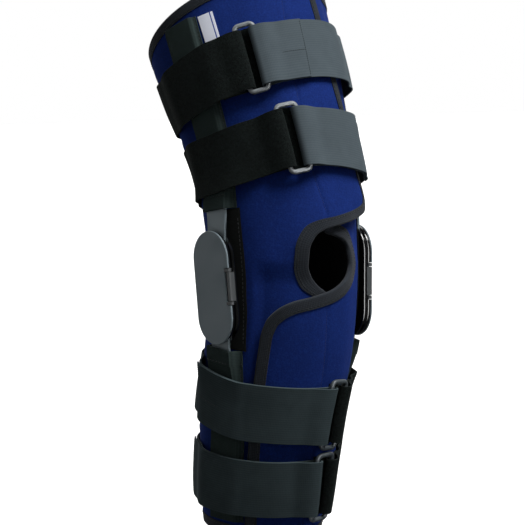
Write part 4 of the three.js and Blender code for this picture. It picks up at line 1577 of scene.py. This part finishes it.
        def along(out: float) -> list[SeamPoint]:
            """Stitches along one side of the pocket."""
            lift = self.cloth + self.hem_lift
            return seam(lambda u, up: self.pocket_point(mix(*sewn, u), out, up), self.side_steps, lift)

        def on_hem(u: float, up: float) -> Vector:
            """Point over the hem at a share across the pocket."""
            return self.pocket_point(row, mix(-half, half, u), up)

        return [along(-side), along(side), seam(on_hem, self.hem_steps, self.cloth + self.hem_stitch_lift)]

    def build_pockets(self) -> None:
        """Builds both pockets and their stitching."""
        upper_end = self.sleeve.risen(self.sleeve.top, self.angle(self.sleeve.top)) - self.hem_gap
        lines = self.build_pocket(self.node("upper_pocket"), self.upper_mouth, upper_end)
        lower_end = self.sleeve.bottom + self.hem_gap
        lines += self.build_pocket(self.node("lower_pocket"), self.lower_mouth, lower_end)
        dress(STITCHES.sew(self.node("pocket_thread"), lines), THREAD, "pocket")

    def pad_point(self, u: float, v: float, lift: float) -> Vector:
        """Point of the pad at shares along and across it.

        Args:
            u: Share along the pad.
            v: Share across it.
            lift: Lift over its under face.

        Returns:
            The point in millimetres.
        """
        start, end = self.pad_span
        place = mix(start, end, u)
        half = self.pad_half - self.pad_taper * ramp(place, 0, end)
        half -= self.pad_low_taper * ramp(place, self.pad_low_from, start)
        middle = self.angle(place) - self.side.value * self.pad_forward
        out = (v * 2 - 1) * half
        return self.form.point(place, middle + self.form.turn(out, place, middle), self.pad_seat + lift)

    def build_pad(self) -> None:
        """Builds the cloth pad under the hinge and its border stitching."""
        size = (self.pad_span[1] - self.pad_span[0], 2 * self.pad_half)
        name = self.node("hinge_pad")
        piece = bent_cut(
            f"{name}_cloth", self.form, self.pad_cells, size, lambda u, v: self.pad_point(u, v, 0.0)
        )
        thicken(piece, self.pad_thickness, 1.0, self.pad_rim)
        dress(piece, PAD_CLOTH, "pocket", nodes=[name])
        lay_sheet(piece, size)

        def border(v: float) -> list[SeamPoint]:
            """Stitches along the pad at a share across it."""
            ends, lift = self.pad_stitch_ends, self.pad_thickness + self.pad_stitch_lift
            return seam(lambda u, up: self.pad_point(mix(*ends, u), v, up), self.side_steps, lift)

        lines = [border(v) for v in self.pad_stitch_rows]
        dress(STITCHES.sew(f"{name}_thread", lines), THREAD, "pocket")

    def build(self) -> None:
        """Builds and dresses this side's hinge."""
        self.build_pad()
        self.build_tray()
        self.build_lid()
        self.build_arm("upper_arm", self.upper_end)
        self.build_arm("lower_arm", self.lower_end)
        self.build_pockets()


# Straps


@dataclass(frozen=True)
class Strap:
    """A strap's place: its ring, the end of its fold and where its middle runs."""

    name: str
    pull_side: int
    ring_angle: float
    fold_end: float
    width: float
    skew: float
    at_ring: float
    at_pull: float
    at_loop: float
    at_back: float
    near_span: Span = (0.0, 60.0)
    far_span: Span = (60.0, 130.0)
    skew_span: Span = (14.0, 60.0)

    @property
    def on_thigh(self) -> bool:
        """Whether the strap is above the knee."""
        return self.at_ring > 0

    def middle(self, angle: float) -> float:
        """Place of the strap's middle at an angle.

        Args:
            angle: Degrees round the leg.

        Returns:
            The place along the leg.
        """
        away = (angle - self.ring_angle) * self.pull_side
        quarter = self.at_pull if away > 0 else self.at_loop
        near = mix(self.at_ring, quarter, ramp(abs(away), *self.near_span))
        return mix(near, self.at_back, ramp(abs(away), *self.far_span))

    def skewed(self, angle: float, share: float) -> float:
        """Angle on a strap that runs at a slant past its ring."""
        return angle + self.skew * share * (1 - ramp(abs(angle - self.ring_angle), *self.skew_span))


STRAPS = (
    Strap("upper_thigh", 1, -34, 0, 51, 0, 175, 178, 171, 188),
    Strap("lower_thigh", 1, -20, 72, 50, -3, 109.5, 107, 103, 105),
    Strap("upper_calf", -1, 12.5, -100, 51, 2, -103.8, -103, -104, -92),
    Strap("lower_calf", -1, 11, -128, 51, -2.5, -169.6, -171.5, -168, -170),
)


class StrapStation(NamedTuple):
    """A point along a strap: its angle, the angle that it is seated at and its middle's rise."""

    angle: float
    seat_angle: float
    rise: float

    @classmethod
    def seated(cls, angle: float, rise: float) -> StrapStation:
        """A station that is seated at its own angle."""
        return cls(angle, angle, rise)


class StrapHalf(NamedTuple):
    """One half of a strap: its thickness, its way round the leg, its bar's angle and its bend."""

    thickness: float
    way: int
    bar: float
    bend: float

    @property
    def centre(self) -> StrapStation:
        """Middle of the bend round the bar."""
        return StrapStation.seated(self.bar, self.thickness / 2 + self.bend)


@dataclass(frozen=True)
class StrapSet:
    """The four straps: each a pull strap folded back through a ring that a loop strap carries."""

    form: LegForm
    sleeve: Sleeve
    bindings: EdgeBindings
    hinges: dict[int, KneeHinge]
    pull: float = 1.6
    loop: float = 1.9
    rim: float = 0.45
    seat: float = 1.2
    flare: float = 2.5
    flare_from: Span = (45.0, 80.0)
    flare_to: Span = (150.0, 172.0)
    bar_gap: float = 1.05
    layer_gap: float = 0.4
    settle: float = 16.0
    tail: float = 24.0
    back_join: float = 0.6
    pitch: float = 2.4
    hairpin_steps: int = 18
    slack: float = 0.6
    crown: float = 2.0
    beside_pocket: Span = (15.0, 36.0)
    past_lap: Span = (2.0, 34.0)
    rod: float = 2.2
    rod_sides: int = 16
    ring_half: float = 7.6
    ring_end: float = 2.3
    ring_corner: float = 4.0
    corner_steps: int = 8
    cells_across: int = 14
    judged: Span = (0.4, 1.0)
    # Black patch under each ring: painted shade for the slot between the strap's two folds.
    backing_reach: float = 7.2
    backing_over: float = 2.5
    backing_drop: float = 0.7
    backing_cloth: float = 0.6
    backing_rim: float = 0.15
    backing_cells: tuple[int, int] = (12, 16)
    stitch_inset: float = 1.2
    stitch_run: float = 26.0
    stitch_half: float = 0.48
    stitch_share: float = -0.06
    stitch_lift: float = 0.02
    stitch_steps: tuple[int, int] = (40, 30)

    def pile_under(self, place: float, angle: float) -> float:
        """Height of the pockets and lapped flaps under a taut strap.

        Args:
            place: Distance along the leg.
            angle: Degrees round it.

        Returns:
            The height over the sleeve.
        """
        hinge = self.hinges[1 if angle >= 0 else -1]
        aside = abs(angle - hinge.angle(place))
        tunnel = 0.0
        if place > hinge.upper_mouth or place < hinge.lower_mouth:
            tunnel = hinge.tunnel_top(place) + hinge.cloth + self.crown
        over_pocket = tunnel * (1 - ramp(aside, *self.beside_pocket))
        sleeve = self.sleeve
        lapped = sleeve.lap_over + self.bindings.gap + self.bindings.tape + self.slack
        on_thigh = place > 0
        lap = sleeve.upper_lap if on_thigh else sleeve.lower_lap
        edge = (sleeve.upper_edge if on_thigh else sleeve.lower_edge).at(place)
        past = angle - edge if on_thigh else edge - angle
        over_lap = lapped * ramp(angle, lap.angle_from, lap.angle_to) * (1 - ramp(past, *self.past_lap))
        return max(over_pocket, over_lap)

    def across(self, strap: Strap, angle: float, share: float) -> float:
        """Place at a share of a strap's width from its middle.

        Args:
            strap: The strap.
            angle: Degrees round the leg.
            share: Share of the width, from -0.5 to 0.5.

        Returns:
            The place along the leg.
        """
        middle = strap.middle(angle)
        stretch = (self.form.point(middle + 0.5, angle) - self.form.point(middle - 0.5, angle)).length
        return middle + share * strap.width / stretch

    def per_mm(self, strap: Strap) -> float:
        """Degrees round the leg for each millimetre at a strap's ring."""
        return self.form.turn(1, strap.at_ring, strap.ring_angle)

    def half(self, strap: Strap, pulling: bool) -> StrapHalf:
        """Sizes of the pull or the loop half of a strap.

        Args:
            strap: The strap.
            pulling: Whether it is the pull half.

        Returns:
            The half's sizes.
        """
        thickness = self.pull if pulling else self.loop
        way = strap.pull_side * (1 if pulling else -1)
        bar = strap.ring_angle + way * self.form.turn(self.ring_half, strap.at_ring, strap.ring_angle)
        return StrapHalf(thickness, way, bar, self.rod + self.bar_gap + thickness / 2)

    def path(self, strap: Strap, pulling: bool) -> list[StrapStation]:
        """Side view of half a strap, from the back of the leg round its bar to its end.

        Args:
            strap: The strap.
            pulling: Whether it is the pull half.

        Returns:
            The stations in order.
        """
        half = self.half(strap, pulling)
        per_mm = self.per_mm(strap)
        low = half.thickness / 2
        stacked = low + half.thickness + self.layer_gap
        back = half.way * (180 - self.back_join * per_mm)
        end = strap.fold_end if pulling else half.bar + half.way * self.tail * per_mm
        shoulder = half.bar + half.way * self.rod * per_mm

        def over_rise(angle: float) -> float:
            """Rise of the outer layer, which settles past the bar and past the inner layer's end.

            Args:
                angle: Degrees round the leg.

            Returns:
                The rise of its middle.
            """
            run = abs(angle - shoulder) / per_mm
            past = 0.0 if pulling else ramp(run, self.tail, self.tail + self.settle)
            return mix(low + 2 * half.bend, mix(stacked, low, past), ramp(run, 0, self.settle))

        def walk(start: float, over: bool) -> list[StrapStation]:
            """Stations from an angle to the bar's shoulder."""
            angles = spread(start, shoulder, max(2, math.ceil(abs(shoulder - start) / self.pitch)))
            return [StrapStation.seated(angle, over_rise(angle) if over else low) for angle in angles]

        hairpin = []
        for swing in spread(-math.pi / 2, math.pi / 2, self.hairpin_steps):
            angle = half.bar - half.way * half.bend * math.cos(swing) * per_mm
            hairpin.append(StrapStation(angle, half.bar, low + half.bend * (1 + math.sin(swing))))
        if pulling:
            return walk(back, False) + hairpin + walk(end, True)[::-1]
        return walk(back, True) + hairpin[::-1] + walk(end, False)[::-1]

    def strap_point(self, strap: Strap, at: StrapStation, share: float, lift: float = 0.0) -> Vector:
        """Point of a strap's middle layer at a station and a share across it.

        Args:
            strap: The strap.
            at: The station along it.
            share: Share across it, from -0.5 to 0.5.
            lift: Extra lift off the leg.

        Returns:
            The point in millimetres.
        """
        place = self.across(strap, at.angle, share)
        away = (at.seat_angle - strap.ring_angle) * strap.pull_side
        flare = self.flare * (0.5 - share) * ramp(away, *self.flare_from) * (1 - ramp(away, *self.flare_to))
        seat = self.seat + flare + self.pile_under(place, strap.skewed(at.seat_angle, share))
        return self.form.point(place, strap.skewed(at.angle, share), seat + at.rise + lift)

    def band(self, strap: Strap, pulling: bool) -> None:
        """Makes the pull or the loop half of a strap.

        Args:
            strap: The strap.
            pulling: Whether it is the pull half.
        """
        path = self.path(strap, pulling)
        last = len(path) - 1
        spine = [self.strap_point(strap, at, 0.0) for at in path]
        size = (sum((b - a).length for a, b in zip(spine, spine[1:])), strap.width)
        finish, slot = LOOP_PILE, "loop_pile"
        if pulling and strap.on_thigh:
            finish, slot = THIGH_WEBBING, "thigh_webbing"
        # The calf's pull straps take the webbing that is painted darker as shade.
        elif pulling:
            finish, slot = CALF_SHADED_WEBBING, "calf_webbing"
        name = f"{strap.name}_{'pull' if pulling else 'loop'}_strap"
        piece = bent_cut(
            f"{name}_band", self.form, (last, self.cells_across), size,
            lambda u, v: self.strap_point(strap, path[round(u * last)], v - 0.5), self.judged,
        )
        thicken(piece, self.half(strap, pulling).thickness, 0.0, self.rim)
        dress(piece, finish, slot, nodes=[name])
        lay_sheet(piece, size)

    def rod_loop(self, half_width: float, half_height: float) -> Mesh:
        """Round rod bent into a long loop with rounded corners, flat on X and Y.

        Args:
            half_width: Half the width between the rod's middles.
            half_height: Half the height between them.

        Returns:
            The closed mesh.
        """
        bm = bmesh.new()
        upright = Matrix.Translation((half_width, 0, 0)) @ Matrix.Rotation(math.pi / 2, 4, "X")
        section = bmesh.ops.create_circle(bm, segments=self.rod_sides, radius=self.rod, matrix=upright)
        edges = list({e for v in section["verts"] for e in v.link_edges})
        x, y = half_width - self.ring_corner, half_height - self.ring_corner
        runs = ((0, y, 0), (-2 * x, 0, 0), (0, -2 * y, 0), (2 * x, 0, 0), (0, y, 0))
        corners = ((x, y, 0), (-x, y, 0), (-x, -y, 0), (x, -y, 0))
        for k, run in enumerate(runs):
            drawn = bmesh.ops.extrude_edge_only(bm, edges=edges)["geom"]
            bmesh.ops.translate(bm, vec=run, verts=of_kind(drawn, bmesh.types.BMVert))
            edges = of_kind(drawn, bmesh.types.BMEdge)
            if k < len(corners):
                spun = bmesh.ops.spin(
                    bm, geom=edges, cent=corners[k], axis=(0, 0, 1), angle=math.pi / 2,
                    steps=self.corner_steps,
                )
                edges = of_kind(spun["geom_last"], bmesh.types.BMEdge)
        bmesh.ops.remove_doubles(bm, verts=bm.verts[:], dist=0.01)
        return bm

    def ring(self, strap: Strap) -> None:
        """Makes a strap's ring, its long sides in the bends of the two halves.

        Args:
            strap: The strap.
        """
        middles = []
        along = Vector()
        for pulling in (True, False):
            bend = self.half(strap, pulling).centre
            low, middle, high = (self.strap_point(strap, bend, share) for share in (-0.5, 0.0, 0.5))
            middles.append((high + low + 2 * middle) / 4)
            along += high - low
        along.normalize()
        across = middles[0] - middles[1]
        bm = self.rod_loop(across.length / 2, strap.width / 2 + self.ring_end + self.rod)
        across = (across - along * across.dot(along)).normalized()
        place = placed((middles[0] + middles[1]) / 2, across, along, across.cross(along))
        bmesh.ops.transform(bm, matrix=place, verts=bm.verts[:])
        bmesh.ops.recalc_face_normals(bm, faces=bm.faces[:])
        piece = new_piece(f"{strap.name}_rod_ring", bm)
        dress(piece, RING_ACETAL if strap.on_thigh else DARK_ACETAL, "ring", nodes=[f"{strap.name}_ring"])

    def backing(self, strap: Strap) -> None:
        """Makes the black patch under a strap's ring: painted shade that darkens the slot between the strap's
        two folds.

        Args:
            strap: The strap.
        """
        reach = self.form.turn(self.backing_reach, strap.at_ring, strap.ring_angle)
        size = (2 * self.backing_reach, strap.width + 2 * self.backing_over)

        def where(u: float, v: float) -> Vector:
            """Point of the patch at shares along and across the strap."""
            at = StrapStation.seated(strap.ring_angle + (u * 2 - 1) * reach, -self.backing_drop)
            return self.strap_point(strap, at, (v - 0.5) * size[1] / strap.width)

        # Black loop pile laid under the ring as painted shade in its slot.
        piece = bent_cut(f"{strap.name}_ring_backing", self.form, self.backing_cells, size, where)
        thicken(piece, self.backing_cloth, 0.0, self.backing_rim)
        dress(piece, LOOP_PILE, "loop_pile")
        lay_sheet(piece, size)

    def stitch_lines(self, strap: Strap) -> list[list[SeamPoint]]:
        """A row of stitches at the end of a strap's fold, and a short row that leads to it.

        Args:
            strap: The strap.

        Returns:
            The lines for the stitches.
        """
        last = self.path(strap, True)[-1]
        per_mm = strap.pull_side * self.per_mm(strap)
        end = last.angle - self.stitch_inset * per_mm
        start = end - self.stitch_run * per_mm
        half = self.stitch_half
        lift = self.pull / 2 + self.stitch_lift

        def across(u: float, up: float) -> Vector:
            """Point over the row at the fold's end."""
            return self.strap_point(strap, StrapStation.seated(end, last.rise), mix(-half, half, u), up)

        def along(u: float, up: float) -> Vector:
            """Point over the row that leads to it."""
            at = StrapStation.seated(mix(start, end, u), last.rise)
            return self.strap_point(strap, at, self.stitch_share, up)

        return [seam(across, self.stitch_steps[0], lift), seam(along, self.stitch_steps[1], lift)]

    def build(self) -> None:
        """Builds every strap, ring and row of stitches."""
        lines = []
        for strap in STRAPS:
            # The black patch under the ring is painted shade for the slot between the folds.
            self.backing(strap)
            self.band(strap, True)
            self.band(strap, False)
            self.ring(strap)
            lines += self.stitch_lines(strap)
        dress(CLOSE_STITCHES.sew("strap_thread", lines), THREAD, "calf_webbing")


@dataclass(frozen=True)
class SewnLabel:
    """A blank woven label at the top of the sleeve."""

    form: LegForm
    place: float = 215.0
    angle: float = -54.2
    height: float = 25.0
    width: float = 14.0
    cloth: float = 0.6
    rim: float = 0.15
    seat: float = 0.3
    cells: tuple[int, int] = (16, 10)

    def build(self) -> None:
        """Builds and dresses the label."""
        wide = self.form.turn(self.width, self.place, self.angle)

        def where(u: float, v: float) -> Vector:
            """Point of the label at shares along and across it."""
            place = self.place + (u - 0.5) * self.height
            return self.form.point(place, self.angle + (v - 0.5) * wide, self.seat)

        piece = bent_cut("label_cloth", self.form, self.cells, (self.height, self.width), where)
        thicken(piece, self.cloth, 1.0, self.rim)
        dress(piece, LABEL_SATIN, "label", nodes=["blank_label"])


# Studio


@dataclass(frozen=True)
class Studio:
    """Pale floor, soft light and a camera at the photograph's angle."""

    azimuth: float = math.radians(35)
    elevation: float = math.radians(4.5)
    distance: float = 3.0
    aim_right: float = -0.018
    aim_up: float = 0.018
    lens: float = 233.8
    sensor: float = 36.0
    floor_drop: float = 0.3
    floor_size: float = 30.0
    sky_low: float = 0.04
    sky_high: float = 0.22
    mirrored: float = 0.05
    strip: float = 10.0
    strip_turn: float = math.radians(28)
    strip_edges: Span = (0.94, 0.98)
    wall: float = 1.0
    wall_edges: Span = (0.3, 0.9)
    strip_stretch: float = 0.3
    key: float = 4.4
    key_turn: float = math.radians(58)
    key_height: float = math.radians(61)
    key_spread: float = math.radians(30)
    rear: float = 1.5
    rear_height: float = math.radians(25)
    rear_spread: float = math.radians(60)

    @cached_property
    def directions(self) -> tuple[Vector, Vector, Vector]:
        """Directions to the camera, to its right and to its top.

        Returns:
            Three unit vectors.
        """
        level = math.cos(self.elevation)
        back = Vector((
            -math.sin(self.azimuth) * level, -math.cos(self.azimuth) * level, math.sin(self.elevation),
        ))
        right = Vector((math.cos(self.azimuth), -math.sin(self.azimuth), 0))
        return back, right, back.cross(right)

    def beside(self, turn: float) -> Vector:
        """Direction at a turn to the camera's right."""
        back, right, _ = self.directions
        return back * math.cos(turn) + right * math.sin(turn)

    def lamp(self, name: str, way: Vector, height: float, energy: float, spread_angle: float) -> None:
        """Adds a soft lamp as large and far as a studio's softbox.

        Args:
            name: Its name.
            way: The level direction towards it.
            height: Its angle over the level.
            energy: Its strength.
            spread_angle: The angle that it fills.
        """
        level = way.to_2d().normalized() * math.cos(height)
        light = bpy.data.lights.new(name, "SUN")
        light.energy = energy
        light.angle = spread_angle
        lamp = bpy.data.objects.new(name, light)
        lamp.rotation_euler = Vector((*level, math.sin(height))).to_track_quat("Z", "Y").to_euler()
        bpy.context.collection.objects.link(lamp)

    def mirrored_room(self, tree: Tree, ray: Socket) -> Socket:
        """What gloss mirrors: a dark room, a pale wall on the left and a tall bright strip by the camera.

        The strip draws the thin lines on the black trays.

        Args:
            tree: The sky's node tree.
            ray: Direction of the ray.

        Returns:
            The room's brightness.
        """
        stretch = (1.0, 1.0, self.strip_stretch)
        flattened = add_node(tree, "VectorMath", {0: ray, 1: stretch}, operation="MULTIPLY").outputs[0]
        level = add_node(tree, "VectorMath", {0: flattened}, operation="NORMALIZE").outputs[0]
        _, right, _ = self.directions
        lights = (
            (self.beside(self.strip_turn), self.strip_edges, self.strip),
            (-right, self.wall_edges, self.wall),
        )
        seen = []
        for way, edges, bright in lights:
            towards = (*way.to_2d().normalized(), 0.0)
            facing = add_node(tree, "VectorMath", {0: level, 1: towards}, operation="DOT_PRODUCT")
            seen.append(remap(tree, facing.outputs["Value"], *edges, self.mirrored, bright))
        return add_node(tree, "Math", dict(enumerate(seen)), operation="MAXIMUM").outputs[0]

    def light(self) -> None:
        """Adds the key light, far to the camera's right, and a sky that the camera sees as white."""
        self.lamp("key_softbox", self.beside(self.key_turn), self.key_height, self.key, self.key_spread)
        # The fill faces the camera from behind the brace, so it lights only what the photograph doesn't show.
        self.lamp("rear_softbox", -self.directions[0], self.rear_height, self.rear, self.rear_spread)
        world = bpy.data.worlds.new("white_sky")
        world.use_nodes = True
        tree = world.node_tree
        kinds = add_node(tree, "LightPath", {}).outputs
        ray = coordinates(tree, "Generated")
        height = add_node(tree, "SeparateXYZ", {0: ray}).outputs["Z"]
        glow = remap(tree, height, -1.0, 1.0, self.sky_low, self.sky_high)
        unseen = blend(tree, kinds["Is Glossy Ray"], glow, self.mirrored_room(tree, ray))
        strength = blend(tree, kinds["Is Camera Ray"], unseen, 1.0)
        feed(tree.nodes["Background"], {"Color": (1, 1, 1, 1), "Strength": strength})
        bpy.context.scene.world = world

    def build_floor(self, height: float) -> None:
        """Builds the floor, which throws no light back, as the photograph's far backdrop throws none.

        Args:
            height: Its height.
        """
        bm = bmesh.new()
        bmesh.ops.create_grid(bm, x_segments=4, y_segments=4, size=self.floor_size / 2)
        bmesh.ops.translate(bm, vec=(0, 0, height), verts=bm.verts[:])
        mesh = bpy.data.meshes.new("studio_floor")
        bm.to_mesh(mesh)
        bm.free()
        mesh.materials.append(FLOOR_PAPER.material())
        floor = bpy.data.objects.new("studio_floor", mesh)
        floor.visible_diffuse = False
        floor.visible_glossy = False
        bpy.context.collection.objects.link(floor)
        floor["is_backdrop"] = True

    def build(self, lowest: float) -> None:
        """Builds the floor, the lights and the camera.

        Args:
            lowest: Height of the brace's lowest point.
        """
        self.build_floor(lowest - self.floor_drop)
        self.light()
        back, right, up = self.directions
        lens = bpy.data.cameras.new("photo_camera")
        lens.lens = self.lens
        lens.sensor_width = self.sensor
        camera = bpy.data.objects.new("photo_camera", lens)
        camera.location = back * self.distance + right * self.aim_right + up * self.aim_up
        camera.rotation_euler = Matrix((right, up, back)).transposed().to_euler()
        bpy.context.collection.objects.link(camera)
        bpy.context.scene.camera = camera
        bpy.context.scene.view_settings.view_transform = "Standard"


def main() -> None:
    """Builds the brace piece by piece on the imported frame."""
    logging.basicConfig(level=logging.INFO, format="%(name)s %(message)s")
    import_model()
    solid_box = [list(corner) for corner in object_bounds()]
    form = LegForm()
    Studio().build(solid_box[0][2])
    sleeve = Sleeve(form)
    sleeve.build()
    bindings = EdgeBindings(sleeve)
    bindings.build()
    hinges = {side.value: KneeHinge(form, sleeve, side) for side in Side}
    for hinge in hinges.values():
        hinge.build()
    StrapSet(form, sleeve, bindings, hinges).build()
    SewnLabel(form).build()


if __name__ == "__main__":
    main()
